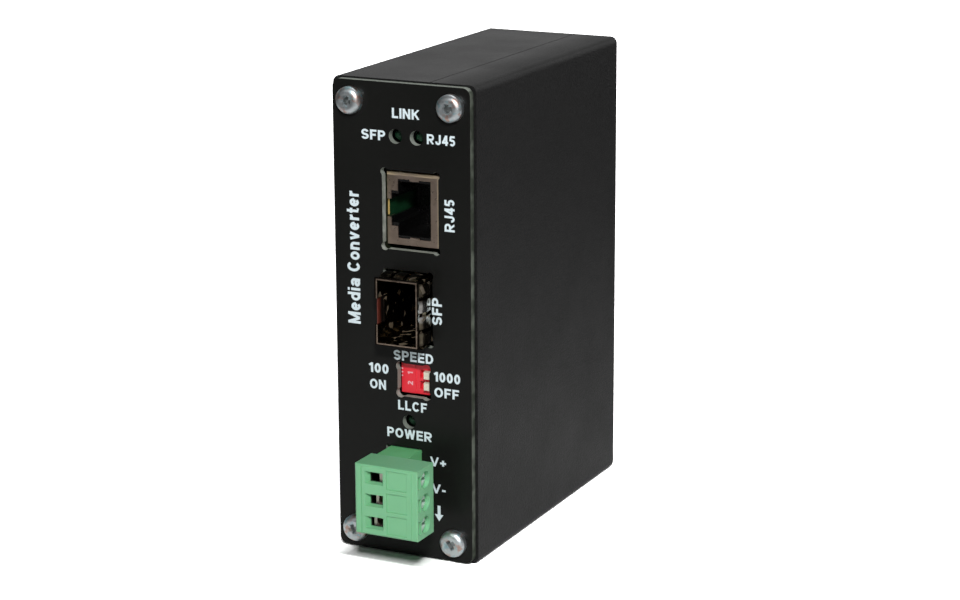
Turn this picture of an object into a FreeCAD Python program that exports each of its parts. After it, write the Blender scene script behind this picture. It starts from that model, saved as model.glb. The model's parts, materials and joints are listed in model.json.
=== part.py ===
import FreeCAD, Part
import math
import os
from FreeCAD import Vector

# Upright network media converter in a two-part extruded case.
# Millimetres. X to the right, Y to the back, Z up.
# The origin is the centre of the case's underside.

# Case
case_width = 34.4
case_height = 106.3
case_depth = 74.8
case_wall = 1.5
case_edge_radius = 1.6
seam_x = 6.4
seam_gap = 0.2
lap_length = 1.8
lap_clearance = 0.1

# End panels
panel_thickness = 1.6
panel_side_margin = 0.7
panel_end_margin = 0.4
panel_corner_radius = 1.8

# Corner screws and the channels that hold them
screw_inset_x = 5.1
screw_inset_z = 4.8
screw_radius = 1.5
screw_length = 9.0
screw_head_radius = 3.0
screw_head_height = 2.1
screw_hole_clearance = 0.2
channel_clearance = 0.05
channel_wall = 1.25
channel_slit = 1.2
recess_depth = 1.2
recess_width = 1.0
recess_span = 3.5
screw_turns = [20, -12, 35, 8]

# Rows of the front. A row is a share of the height from the first one to the case's top
first_row_z = 14.65
plug_row = 0.0266
power_lamp_row = 0.179
dip_row = 0.282
cage_row = 0.4604
jack_row = 0.694
link_lamp_row = 0.8696

# Main board, upright on its edge, with its parts on the +X side
board_thickness = 1.6
board_face_x = -4.3
board_edge_gap = 0.5
board_front_gap = 1.0
board_rear_gap = 4.5
board_slot_clearance = 0.1
board_rib_width = 1.2
board_rib_height = 2.2

# Copper socket, turned so that its latch side lies on the board
jack_height = 13.05
jack_width = 15.9
jack_depth = 21.5
jack_sheet = 0.3
jack_mouth_width = 13.0
jack_mouth_low = 2.55
jack_mouth_high = 10.5
jack_notch_width = 7.85
jack_notch_depth = 1.6
jack_slit_width = 4.0
jack_bend_radius = 1.0
jack_cavity_depth = 12.5
jack_cavity_width = 11.9
jack_latch_width = 6.4
jack_tab_width = 2.2
jack_tab_length = 2.5
jack_leg_width = 1.5
jack_leg_reach = 1.4
jack_leg_setback = 8.0
contact_count = 8
contact_pitch = 1.02
contact_size = 0.45

# Fibre module cage
cage_height = 9.9
cage_width = 14.55
cage_length = 48.7
cage_standoff = 0.7
cage_reach = 7.1
cage_sheet = 0.3
cage_notch_width = 5.85
cage_notch_depth = 4.6
cage_leg_width = 0.8
cage_leg_count = 4
cage_vent_radius = 0.8
cage_vent_pitch = 4.0
cage_vent_column_count = 6
cage_vent_row_count = 3
cage_window_length = 12.5
insulator_thickness = 0.2
insulator_gap = 1.3
cage_connector_length = 9.0
cage_connector_gap = 1.0

# Spring collar round the cage
collar_sheet = 0.2
collar_band = 0.5
collar_setback = 0.15
collar_length = 6.1
collar_bulge = 0.75
collar_slot = 0.9

# Two-way switch
dip_width = 9.9
dip_height = 6.7
dip_depth = 4.8
dip_left_x = -1.4
dip_setback = 0.2
dip_window_width = 7.8
dip_pitch = 2.54
dip_slot_length = 3.0
dip_slot_offset = 1.0
dip_slot_width = 1.8
dip_slot_depth = 1.2
dip_slider_length = 1.75
dip_slider_width = 1.6
dip_slider_rise = 0.95
dip_slider_gap = 0.1
dip_step = 0.15
dip_step_x = 2.0

# Indicator lamps
lamp_radius = 1.5
lamp_length = 5.3
lamp_flange_radius = 1.9
lamp_flange_length = 1.0
lamp_hole_radius = 1.6
lamp_proud = 0.2
lamp_mid_x = 1.24
lamp_spacing = 5.08
lamp_holder_wall = 0.9
lamp_holder_length = 6.5
lamp_holder_setback = 2.6

# Pluggable screw terminal
pole_count = 3
pole_pitch = 5.08
plug_end_wall = 0.28
plug_left_x = -4.75
plug_right_x = 10.4
plug_reach = 14.2
plug_depth = 7.7
plug_edge = 0.35
spigot_low_x = -3.2
spigot_high_x = 3.2
spigot_length = 9.4
spigot_step = 0.95
header_gap = 0.3
header_wall = 0.7
header_fit = 0.15
header_depth = 13.2
header_back = 3.6
header_chamfer = 0.8
pin_x = -0.8
pin_size = 1.0
pin_tail = 1.6
pin_end_gap = 2.0

# Rising clamps inside the plug
front_wall = 1.7
chamber_spare = 0.25
chamber_length = 4.6
chamber_half_width = 1.95
clamp_bar = 0.7
clamp_size = 5.3
clamp_width = 3.5
clamp_cheek = 0.45
clamp_length = 3.8
clamp_open_x = -1.35
clamp_closed_x = 0.85
clamp_rest_x = [0.65, -0.25, -0.8]
terminal_screw_radius = 1.25
terminal_screw_fit = 0.05
terminal_head_radius = 1.8
terminal_head_height = 1.6
terminal_bore_radius = 1.95
terminal_shoulder_x = 7.9
terminal_slot_width = 0.6
terminal_slot_depth = 0.7
terminal_screw_end_x = 2.05
busbar_sheet = 0.4
busbar_half_width = 0.9
busbar_x = 1.35
sleeve_inner = 1.4
sleeve_wall = 0.4
sleeve_length = 6.5
funnel_low_x = -2.3
funnel_high_x = 2.15
funnel_half_height = 1.4
throat_low_x = -1.35
throat_high_x = 2.0
throat_half_height = 1.05
face_groove_x = -3.15
face_step_x = 2.4
face_step = 0.25
face_panel_high_x = 9.0
rib_half_width = 0.45
side_slot_length = 1.1
side_slot_height = 2.9
side_slot_depth = 0.8
side_slot_setback = 0.7

# Parts on the board. Each one's middle has a row and a setback from the board's rear edge
controller_side = 10.0
controller_height = 1.4
controller_lead_count = 10
controller_lead_pitch = 0.9
controller_row = 0.735
controller_setback = 15.9
small_chip_side = 4.0
small_chip_height = 1.5
small_chip_lead_count = 4
small_chip_lead_pitch = 1.0
memory_row = 0.5166
memory_setback = 8.9
regulator_row = 0.0584
regulator_setback = 26.9
magnetics_gap = 3.0
magnetics_length = 9.2
magnetics_width = 12.8
magnetics_height = 5.6
magnetics_leg_count = 6
magnetics_leg_pitch = 2.0
crystal_length = 10.2
crystal_width = 3.9
crystal_height = 3.6
crystal_foot_margin = 0.5
crystal_row = 0.604
crystal_setback = 12.9
inductor_side = 7.4
inductor_height = 4.0
inductor_corner = 1.4
inductor_lid_radius = 3.0
inductor_row = 0.2002
inductor_setback = 16.9
can_radius = 4.0
can_height = 9.6
can_foot_side = 8.4
can_foot_height = 0.8
can_groove_depth = 0.2
can_groove_radius = 0.5
can_rows = [0.0147, 0.1457]
can_setback = 4.9
diode_length = 4.4
diode_width = 2.6
diode_height = 2.3
diode_row = 0.0147
diode_setback = 36.9
ceramic_count = 4
ceramic_length = 2.0
ceramic_width = 1.25
ceramic_pitch = 4.0
ceramic_row = 0.735
ceramic_setback = 23.9

# Rail clip on the back
rail_height = 35.0
rail_sheet = 1.0
rail_share = 0.5174
clip_half_width = 10.0
clip_plate = 3.5
clip_top_margin = 6.0
clip_bottom_margin = 4.5
clip_fit = 0.2
rail_play = 0.4
lip_thickness = 2.2
slot_floor = 1.0
slot_wide_half = 6.2
slot_narrow_half = 4.6
slot_step = 1.2
latch_clearance = 0.1
latch_top_below = 1.5
latch_travel = 3.0
latch_spare = 0.8
latch_tab = 7.0
latch_tab_hole = 2.4
lug_half_width = 1.9
lug_height = 3.0
window_half_width = 2.1
spring_length = 9.0
spring_radius = 1.1
spring_wire = 0.2
spring_turn_count = 6
clip_screw_spacing = 11.0
clip_head_radius = 2.8
clip_head_height = 1.7
nut_flat = 5.5
nut_height = 2.4

# Places worked out from the sizes above
front_y = -case_depth / 2
back_y = case_depth / 2
panel_front_y = front_y - panel_thickness
rear_face_y = back_y + panel_thickness
mid_z = case_height / 2
row_span = case_height - first_row_z
plug_z = first_row_z + plug_row * row_span
power_lamp_z = first_row_z + power_lamp_row * row_span
dip_z = first_row_z + dip_row * row_span
cage_z = first_row_z + cage_row * row_span
jack_z = first_row_z + jack_row * row_span
link_lamp_z = first_row_z + link_lamp_row * row_span
rail_z = rail_share * case_height
board_back_x = board_face_x - board_thickness
board_end_y = back_y - board_rear_gap
cage_low_x = board_face_x + cage_standoff
cage_high_x = cage_low_x + cage_height
cage_front_y = front_y - cage_reach
cage_connector_end_y = cage_front_y + cage_length - cage_sheet - cage_connector_gap
cage_connector_front_y = cage_connector_end_y - cage_connector_length
jack_high_x = board_face_x + jack_height
dip_high_x = dip_left_x + dip_width
dip_face_y = front_y + dip_setback
plug_half_length = pole_count * pole_pitch / 2 + plug_end_wall
plug_front_y = panel_front_y - plug_reach
plug_back_y = plug_front_y + plug_depth
spigot_end_y = plug_back_y + spigot_length
header_low_x = board_face_x
header_high_x = spigot_high_x + header_fit + header_wall
header_front_y = plug_back_y + header_gap
header_end_y = header_front_y + header_depth
spigot_half_length = plug_half_length - spigot_step
header_half_length = spigot_half_length + header_fit + header_wall
pole_z = [plug_z + pole_pitch * (1 - index) for index in range(pole_count)]
chamber_low_x = clamp_open_x - clamp_bar / 2 - chamber_spare
chamber_high_x = clamp_closed_x - clamp_bar / 2 + clamp_size + chamber_spare
clip_seat_y = rear_face_y + clip_plate
lip_start_y = clip_seat_y + rail_sheet + rail_play
lip_end_y = lip_start_y + lip_thickness
lip_overlap = latch_travel - latch_spare
rail_top_z = rail_z + rail_height / 2
rail_bottom_z = rail_z - rail_height / 2

os.makedirs("parts", exist_ok=True)


def save(name, shape):
    shape.exportStep("parts/" + name + ".step")


def block(x0, x1, y0, y1, z0, z1):
    return Part.makeBox(x1 - x0, y1 - y0, z1 - z0, Vector(x0, y0, z0))


def rod(radius, start, direction, length):
    return Part.makeCylinder(radius, length, start, direction)


def fuse_all(shapes):
    joined = shapes[0].multiFuse(shapes[1:])
    return joined.removeSplitter()


def prism(points, direction):
    wire = Part.makePolygon(points + [points[0]])
    return Part.Face(wire).extrude(direction)


def prism_xz(points, y0, y1):
    """Extrude an outline of (x, z) points from y0 to y1."""
    return prism([Vector(x, y0, z) for x, z in points], Vector(0, y1 - y0, 0))


def prism_xy(points, z0, z1):
    """Extrude an outline of (x, y) points from z0 to z1."""
    return prism([Vector(x, y, z0) for x, y in points], Vector(0, 0, z1 - z0))


def prism_yz(points, x0, x1):
    """Extrude an outline of (y, z) points from x0 to x1."""
    return prism([Vector(x0, y, z) for y, z in points], Vector(x1 - x0, 0, 0))


def rounded_block(x0, x1, y0, y1, z0, z1, radius):
    """Block whose four edges along Y are rounded."""
    solid = block(x0, x1, y0, y1, z0, z1)
    edges = [edge for edge in solid.Edges if abs(edge.tangentAt(edge.FirstParameter).y) > 0.9]
    return solid.makeFillet(radius, edges)


def corner_places():
    places = []
    for side in (-1, 1):
        for end in (-1, 1):
            places.append((side * (case_width / 2 - screw_inset_x), mid_z + end * (mid_z - screw_inset_z)))
    return places


# Case shells

def screw_channel(x, z):
    """Open screw channel: a slit ring joined to the corner of the case by a web."""
    radius = screw_radius + channel_clearance + channel_wall
    side = math.copysign(1, x)
    end = math.copysign(1, z - mid_z)
    wall_x = side * (case_width / 2 - case_wall / 2)
    wall_z = mid_z + end * (mid_z - case_wall / 2)
    ring = rod(radius, Vector(x, front_y, z), Vector(0, 1, 0), case_depth)
    side_web = block(min(x, wall_x), max(x, wall_x), front_y, back_y,
                     z - channel_wall / 2, z + channel_wall / 2)
    end_web = block(x - channel_wall / 2, x + channel_wall / 2, front_y, back_y, min(z, wall_z), max(z, wall_z))
    return ring.multiFuse([side_web, end_web])


def channel_bore(x, z):
    radius = screw_radius + channel_clearance
    reach = radius + channel_wall
    side = math.copysign(1, x)
    bore = rod(radius, Vector(x, front_y, z), Vector(0, 1, 0), case_depth)
    slit_start = min(x, x - side * reach)
    slit = block(slit_start, slit_start + reach, front_y, back_y, z - channel_slit / 2, z + channel_slit / 2)
    return bore.fuse(slit)


def extruded_tube():
    half = case_width / 2
    outer = rounded_block(-half, half, front_y, back_y, 0, case_height, case_edge_radius)
    inner_radius = max(case_edge_radius - case_wall, 0.3)
    inner = rounded_block(-half + case_wall, half - case_wall, front_y, back_y,
                          case_wall, case_height - case_wall, inner_radius)
    tube = outer.cut(inner)
    tube = tube.multiFuse([screw_channel(x, z) for x, z in corner_places()])
    return tube.cut([channel_bore(x, z) for x, z in corner_places()])


def lap_strips(length, outer_offset):
    """Inner halves of the top and bottom walls just right of the seam."""
    start = seam_x - seam_gap
    low = block(start, seam_x + length, front_y, back_y, outer_offset, case_wall)
    high = block(start, seam_x + length, front_y, back_y, case_height - case_wall, case_height - outer_offset)
    return [low, high]


def board_ribs():
    """Pairs of ribs on the bottom and top walls that hold the board by its edges."""
    ribs = []
    right = board_face_x + board_slot_clearance
    left = board_back_x - board_slot_clearance
    for x0 in (left - board_rib_width, right):
        ribs.append(block(x0, x0 + board_rib_width, front_y, back_y,
                          case_wall / 2, case_wall + board_rib_height))
        ribs.append(block(x0, x0 + board_rib_width, front_y, back_y,
                          case_height - case_wall - board_rib_height, case_height - case_wall / 2))
    return ribs


def case_body(tube):
    cut_away = block(seam_x - seam_gap / 2, case_width, 2 * front_y, 2 * back_y, -1, case_height + 1)
    body = tube.cut(cut_away)
    tongue_offset = (case_wall + lap_clearance) / 2
    return fuse_all([body] + lap_strips(lap_length, tongue_offset) + board_ribs())


def case_cover(tube):
    cut_away = block(-case_width, seam_x + seam_gap / 2, 2 * front_y, 2 * back_y, -1, case_height + 1)
    cover = tube.cut(cut_away)
    groove_offset = (case_wall - lap_clearance) / 2
    return cover.cut(lap_strips(lap_length + seam_gap, groove_offset)).removeSplitter()


# Panels and screws

def routed_opening(x0, x1, z0, z1, y0, y1, cutter, overcut):
    """Rectangular opening whose corners are overcut by the round cutter."""
    inset = cutter - overcut
    tools = [block(x0, x1, y0, y1, z0, z1)]
    for x in (x0 + inset, x1 - inset):
        for z in (z0 + inset, z1 - inset):
            tools.append(rod(cutter, Vector(x, y0, z), Vector(0, 1, 0), y1 - y0))
    return tools[0].multiFuse(tools[1:])


def end_panel(y0, y1):
    half = case_width / 2 - panel_side_margin
    panel = rounded_block(-half, half, y0, y1, panel_end_margin, case_height - panel_end_margin,
                          panel_corner_radius)
    hole = screw_radius + screw_hole_clearance
    holes = [rod(hole, Vector(x, y0, z), Vector(0, 1, 0), y1 - y0) for x, z in corner_places()]
    return panel.cut(holes)


def lamp_places():
    return [
        (lamp_mid_x - lamp_spacing / 2, link_lamp_z),
        (lamp_mid_x + lamp_spacing / 2, link_lamp_z),
        (lamp_mid_x, power_lamp_z),
    ]


def front_panel():
    y0 = panel_front_y
    y1 = front_y
    panel = end_panel(y0, y1)
    side_gap = 0.4
    end_gap = 0.8
    jack_half = jack_width / 2 + end_gap
    cage_half = cage_width / 2 + collar_bulge + collar_sheet
    cage_gap = collar_bulge + collar_sheet
    dip_half = dip_height / 2 + side_gap
    header_half = header_half_length + side_gap / 2
    cuts = [
        routed_opening(board_face_x - side_gap, jack_high_x + side_gap / 4,
                       jack_z - jack_half, jack_z + jack_half, y0, y1, 0.9, 0.35),
        routed_opening(cage_low_x - cage_gap, cage_high_x + cage_gap,
                       cage_z - cage_half, cage_z + cage_half, y0, y1, 0.9, 0.2),
        routed_opening(dip_left_x - side_gap / 4, dip_left_x - side_gap / 4 + dip_window_width,
                       dip_z - dip_half, dip_z + dip_half, y0, y1, 1.1, 0.35),
        routed_opening(header_low_x - side_gap / 2, header_high_x + side_gap / 2,
                       plug_z - header_half, plug_z + header_half, y0, y1, 0.6, 0.1),
    ]
    for x, z in lamp_places():
        cuts.append(rod(lamp_hole_radius, Vector(x, y0, z), Vector(0, 1, 0), panel_thickness))
    return panel.cut(cuts)


def rear_panel():
    panel = end_panel(back_y, rear_face_y)
    hole = screw_radius + screw_hole_clearance
    holes = [rod(hole, Vector(x, back_y, z), Vector(0, 1, 0), panel_thickness) for x, z in clip_screw_places()]
    return panel.cut(holes)


def pan_head_screw(x, y, z, out, shank_length, head_radius, head_height, first_turn):
    """Cross-recess screw along Y. The underside of its head is at y, and out points away from the shank."""
    crown = head_height * 0.45
    rim = Vector(head_radius, 0, head_height - crown)
    shoulder = Vector(head_radius * 0.86, 0, head_height - crown * 0.35)
    top = Vector(0, 0, head_height)
    mid = Vector(head_radius * 0.45, 0, head_height - crown * 0.02)
    dome = Part.makePolygon([Vector(0, 0, -shank_length), Vector(screw_radius, 0, -shank_length),
                             Vector(screw_radius, 0, 0), Vector(head_radius, 0, 0), rim])
    bend = Part.Arc(rim, shoulder, mid).toShape()
    cap = Part.makeLine(mid, top)
    axis_line = Part.makeLine(top, Vector(0, 0, -shank_length))
    outline = Part.Wire(dome.Edges + [bend, cap, axis_line])
    solid = Part.Face(outline).revolve(Vector(0, 0, 0), Vector(0, 0, 1), 360)
    wing = recess_width / 2
    span = recess_span / 2
    floor = head_height - recess_depth
    cross = []
    for turn in (0, 90):
        blade = prism_xz([(-span, head_height + 1), (span, head_height + 1), (wing, floor), (-wing, floor)],
                         -wing, wing)
        blade.rotate(Vector(0, 0, 0), Vector(0, 0, 1), turn + first_turn)
        cross.append(blade)
    solid = solid.cut(cross)
    solid.rotate(Vector(0, 0, 0), Vector(1, 0, 0), -90 * out)
    solid.translate(Vector(x, y, z))
    return solid


def corner_screws(y, out):
    screws = []
    for place, turn in zip(corner_places(), screw_turns):
        screws.append(pan_head_screw(place[0], y, place[1], out, screw_length,
                                     screw_head_radius, screw_head_height, turn))
    return Part.makeCompound(screws)


# Main board

def board_holes():
    """Holes for the header's pins and the socket's board legs."""
    across = Vector(1, 0, 0)
    y = header_end_y + pin_tail - pin_size / 2
    holes = [rod(0.8 * pin_size, Vector(board_back_x, y, z), across, board_thickness) for z in pole_z]
    y = front_y + jack_leg_setback + jack_leg_width / 2
    for end in (-1, 1):
        z = jack_z + end * (jack_width / 2 - jack_sheet / 2)
        holes.append(rod(0.6 * jack_leg_width, Vector(board_back_x, y, z), across, board_thickness))
    return holes


def main_board():
    low = case_wall + board_edge_gap
    board = block(board_back_x, board_face_x, front_y + board_front_gap, board_end_y,
                  low, case_height - low)
    return board.cut(board_holes())


# Copper socket

def jack_mouth(depth_from, depth_to):
    """Stepped mouth of the socket: wide part, latch notch and a slit down to the board."""
    low = board_face_x + jack_mouth_low
    high = board_face_x + jack_mouth_high
    y0 = front_y + depth_from
    y1 = front_y + depth_to
    half = jack_mouth_width / 2
    notch = jack_notch_width / 2
    slit = jack_slit_width / 2
    notch_x = low - jack_notch_depth
    slit_x = board_face_x - jack_sheet
    return prism_xz([
        (high, jack_z - half), (high, jack_z + half), (low, jack_z + half), (low, jack_z + notch),
        (notch_x, jack_z + notch), (notch_x, jack_z + slit), (slit_x, jack_z + slit),
        (slit_x, jack_z - slit), (notch_x, jack_z - slit), (notch_x, jack_z - notch),
        (low, jack_z - notch), (low, jack_z - half)], y0, y1)


def rj45_shield():
    """Folded metal shell, open towards the board, with board legs and grounding tabs."""
    half = jack_width / 2
    sheet = jack_sheet
    shell = block(board_face_x, jack_high_x, front_y, front_y + jack_depth, jack_z - half, jack_z + half)
    bends = [edge for edge in shell.Edges
             if edge.CenterOfMass.x > jack_high_x - 0.01 and abs(edge.CenterOfMass.z - jack_z) > half - 0.01]
    shell = shell.makeFillet(jack_bend_radius, bends)
    hollow = block(board_face_x + sheet, jack_high_x - sheet, front_y + sheet, front_y + jack_depth - sheet,
                   jack_z - half + sheet, jack_z + half - sheet)
    opened = block(board_face_x - 1, board_face_x + sheet, front_y + 3, front_y + jack_depth - 3,
                   jack_z - half + 1.5, jack_z + half - 1.5)
    shell = shell.cut([hollow, opened, jack_mouth(-1, sheet), jack_slit(3)])
    pieces = [shell] + jack_tabs(0)
    leg_y = front_y + jack_leg_setback
    for end in (-1, 1):
        wall = jack_z + end * (half - sheet / 2)
        pieces.append(block(board_face_x - jack_leg_reach, board_face_x + 1, leg_y, leg_y + jack_leg_width,
                            wall - sheet / 2, wall + sheet / 2))
    return fuse_all(pieces)


def jack_slit(length):
    """Way through to the board's face under the latch notch."""
    half = jack_slit_width / 2
    return block(board_face_x - 1, board_face_x + jack_mouth_low, front_y - 1, front_y + length,
                 jack_z - half, jack_z + half)


def jack_tabs(gap):
    """Grounding tabs folded into the mouth from its two ends, grown by gap all round."""
    tabs = []
    tab_x = board_face_x + (jack_mouth_low + jack_mouth_high) / 2
    half = jack_tab_width / 2 + gap
    for end in (-1, 1):
        z = jack_z + end * (jack_mouth_width - jack_sheet) / 2
        thick = jack_sheet / 2 + gap
        tabs.append(block(tab_x - half, tab_x + half, front_y, front_y + jack_tab_length + gap,
                          z - thick, z + thick))
    return tabs


def rj45_housing():
    """Moulded body inside the shield, with the plug cavity and the seat of the contact insert."""
    gap = 0.05
    half = jack_width / 2 - jack_sheet - gap
    low = board_face_x + jack_sheet + gap
    high = jack_high_x - jack_sheet - gap
    y0 = front_y + jack_sheet + gap
    y1 = front_y + jack_depth - jack_sheet - gap
    body = block(low, high, y0, y1, jack_z - half, jack_z + half)
    cavity_low = board_face_x + jack_mouth_low
    cavity_high = board_face_x + jack_mouth_high
    cavity_half = jack_cavity_width / 2
    cavity = block(cavity_low, cavity_high, y0, y0 + jack_cavity_depth,
                   jack_z - cavity_half, jack_z + cavity_half)
    latch_half = jack_latch_width / 2
    latch = block(cavity_low - jack_notch_depth, cavity_low, y0, y0 + jack_cavity_depth,
                  jack_z - latch_half, jack_z + latch_half)
    seat_half = insert_half_width() + gap
    insert_seat = block(cavity_high, high, y0 + 1.0, y1 - 2.0, jack_z - seat_half, jack_z + seat_half)
    slit = jack_slit(jack_sheet + jack_cavity_depth)
    return body.cut([cavity, latch, slit, insert_seat] + jack_tabs(gap)).removeSplitter()


def insert_half_width():
    return contact_count * contact_pitch / 2 + 0.6


def contact_places():
    middle = (contact_count - 1) / 2
    return [jack_z + (index - middle) * contact_pitch for index in range(contact_count)]


def rj45_insert():
    """Comb that carries the contacts on the side away from the board."""
    low = board_face_x + jack_mouth_high
    high = jack_high_x - jack_sheet - 0.05
    y0 = front_y + jack_sheet + 1.1
    y1 = front_y + jack_depth - jack_sheet - 2.1
    half = insert_half_width()
    comb = block(low, high, y0, y1, jack_z - half, jack_z + half)
    slot = contact_size / 2 + 0.05
    grooves = [block(low, low + contact_size + 0.1, y0, y1, z - slot, z + slot) for z in contact_places()]
    return comb.cut(grooves)


def rj45_contacts():
    """Eight spring wires that slant from the mouth down into the cavity."""
    top = board_face_x + jack_mouth_high + contact_size + 0.1
    y0 = front_y + jack_sheet + 1.3
    tip_y = y0 + 9.6
    tip_x = board_face_x + jack_mouth_high - 2.9
    size = contact_size
    outline = [(top, y0 + 8.4), (top, y0), (top - size, y0 - 0.1), (tip_x, tip_y),
               (tip_x + size * 0.6, tip_y + size), (top - size * 1.1, y0 + 1.0), (top - size, y0 + 8.4)]
    wires = [prism_xy(outline, z - size / 2, z + size / 2) for z in contact_places()]
    return Part.makeCompound(wires)


# Fibre module cage

def cage_vents():
    holes = []
    first_y = front_y + 6.0
    for column in range(cage_vent_column_count):
        for row in range(cage_vent_row_count):
            z = cage_z + (row - (cage_vent_row_count - 1) / 2) * cage_vent_pitch
            start = Vector(cage_high_x - 1, first_y + column * cage_vent_pitch, z)
            holes.append(rod(cage_vent_radius, start, Vector(1, 0, 0), 2))
    return holes


def cage_key_holes():
    """Small square holes near the mouth that hold the collar's tabs."""
    size = 0.95
    y = cage_front_y + 2.0
    holes = []
    for offset in (-0.3, 3.7):
        z = cage_z + offset
        holes.append(block(cage_high_x - 1, cage_high_x + 1, y - size / 2, y + size / 2,
                           z - size / 2, z + size / 2))
    return holes


def cage_legs():
    half = cage_width / 2
    legs = []
    for index in range(cage_leg_count):
        y = front_y + 4.0 + index * (cage_length - cage_reach - 8.0) / (cage_leg_count - 1)
        for end in (-1, 1):
            wall = cage_z + end * (half - cage_sheet / 2)
            legs.append(block(board_face_x, cage_low_x + 1, y - cage_leg_width / 2, y + cage_leg_width / 2,
                              wall - cage_sheet / 2, wall + cage_sheet / 2))
    return legs


def sfp_cage():
    """Folded sheet tunnel, open at the front, with the latch notch towards the board."""
    half = cage_width / 2
    sheet = cage_sheet
    end_y = cage_front_y + cage_length
    shell = block(cage_low_x, cage_high_x, cage_front_y, end_y, cage_z - half, cage_z + half)
    hollow = block(cage_low_x + sheet, cage_high_x - sheet, cage_front_y - 1, end_y - sheet,
                   cage_z - half + sheet, cage_z + half - sheet)
    notch_half = cage_notch_width / 2
    notch = block(cage_low_x - 1, cage_low_x + sheet, cage_front_y, cage_front_y + cage_notch_depth,
                  cage_z - notch_half, cage_z + notch_half)
    window = block(cage_low_x - 1, cage_low_x + sheet, end_y - cage_window_length, end_y - 1,
                   cage_z - half + 1.2, cage_z + half - 1.2)
    shell = shell.cut([hollow, notch, window] + cage_vents() + cage_key_holes())
    return fuse_all([shell] + cage_legs() + [latch_tongue()])


def latch_tongue():
    """Sprung tongue behind the notch that bends up into the tunnel and catches the module."""
    y0 = cage_front_y + cage_notch_depth
    rise = 1.1
    half = cage_notch_width / 2 - 0.5
    sheet = cage_sheet
    outline = [(cage_low_x, y0), (cage_low_x + sheet, y0), (cage_low_x + sheet + rise, y0 - 3.4),
               (cage_low_x + rise, y0 - 3.4)]
    tongue = prism_xy(outline, cage_z - half, cage_z + half)
    hole = prism_yz([(y0 - 0.6, cage_z - 1.2), (y0 - 0.6, cage_z + 1.2), (y0 - 2.4, cage_z)],
                    cage_low_x - 1, cage_low_x + 3)
    return tongue.cut(hole)


def cage_insulator():
    """Film on the board under the cage."""
    half = cage_width / 2 - cage_sheet - 0.3
    return block(cage_low_x - insulator_thickness, cage_low_x, cage_front_y + 0.8,
                 cage_connector_front_y - insulator_gap, cage_z - half, cage_z + half)


def collar_finger(width):
    """Arched strip along Y. It starts at y = 0, bulges towards +Z and is centred on X."""
    span = collar_length - collar_band
    rise = collar_bulge
    sheet = collar_sheet
    low = Part.Arc(Vector(0, 0, 0), Vector(0, span / 2, rise), Vector(0, span, 0)).toShape()
    high = Part.Arc(Vector(0, 0, sheet), Vector(0, span / 2, rise + sheet), Vector(0, span, sheet)).toShape()
    start = Part.makeLine(Vector(0, 0, 0), Vector(0, 0, sheet))
    end = Part.makeLine(Vector(0, span, 0), Vector(0, span, sheet))
    outline = Part.Wire(Part.__sortEdges__([low, high, start, end]))
    strip = Part.Face(outline).extrude(Vector(width, 0, 0))
    strip.translate(Vector(-width / 2, 0, 0))
    return strip


def collar_side(length, count, turn, offset, centre_x):
    """Row of fingers on one side of the cage, turned about the cage's axis."""
    pitch = length / count
    y0 = cage_front_y + collar_setback + collar_band
    fingers = []
    for index in range(count):
        finger = collar_finger(pitch - collar_slot)
        finger.translate(Vector((index - (count - 1) / 2) * pitch, y0, offset))
        finger.rotate(Vector(0, 0, 0), Vector(0, 1, 0), turn)
        finger.translate(Vector(centre_x, 0, cage_z))
        fingers.append(finger)
    return fingers


def sfp_spring_collar():
    """Spring ring round the mouth of the cage, open at its notch, that grounds it to the panel's opening."""
    half = cage_width / 2
    sheet = collar_sheet
    y0 = cage_front_y + collar_setback
    low = cage_low_x - insulator_thickness
    y1 = y0 + collar_band
    reach = half + sheet
    outer = block(low - sheet, cage_high_x + sheet, y0, y1, cage_z - reach, cage_z + reach)
    inner = block(low, cage_high_x, y0, y1, cage_z - half, cage_z + half)
    notch_half = cage_notch_width / 2
    notch = block(low - 1, cage_high_x - 1, y0, y1, cage_z - notch_half, cage_z + notch_half)
    centre_x = (cage_low_x + cage_high_x) / 2
    tall = cage_height / 2
    fingers = collar_side(cage_height, 3, 0, half, centre_x)
    fingers += collar_side(cage_height, 3, 180, half, centre_x)
    fingers += collar_side(cage_width, 4, 90, tall, centre_x)
    board_side = collar_side(cage_width, 4, 270, tall + insulator_thickness, centre_x)
    return fuse_all([outer.cut([inner, notch])] + fingers + [board_side[0], board_side[-1]])


def sfp_connector():
    """Card-edge connector at the back of the cage."""
    y0 = cage_connector_front_y
    y1 = cage_connector_end_y
    half = 0.4 * cage_width
    body = block(board_face_x, board_face_x + 6.2, y0, y1, cage_z - half, cage_z + half)
    slot = block(board_face_x + 2.6, board_face_x + 4.2, y0 - 1, y0 + 5.5, cage_z - half + 1, cage_z + half - 1)
    ramp = prism_xy([(board_face_x + 6.2, y0), (board_face_x + 6.2, y0 + 1.5), (board_face_x + 5.2, y0)],
                    cage_z - half, cage_z + half)
    return body.cut([slot, ramp])


# Two-way switch

def dip_slot_places():
    return [dip_z + dip_pitch / 2, dip_z - dip_pitch / 2]


def dip_slot_start():
    return dip_left_x + (dip_width - dip_slot_length) / 2 + dip_slot_offset


def dip_body():
    """Switch body. Its face lies a little lower on the side of the sliders."""
    half = dip_height / 2
    body = block(dip_left_x, dip_high_x, dip_face_y, dip_face_y + dip_depth, dip_z - half, dip_z + half)
    x0 = dip_slot_start()
    slot_half = dip_slot_width / 2
    slots = [block(x0, x0 + dip_slot_length, dip_face_y, dip_face_y + dip_slot_depth,
                   z - slot_half, z + slot_half)
             for z in dip_slot_places()]
    step = block(dip_step_x, dip_high_x, dip_face_y, dip_face_y + dip_step, dip_z - half, dip_z + half)
    return body.cut(slots + [step])


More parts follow.
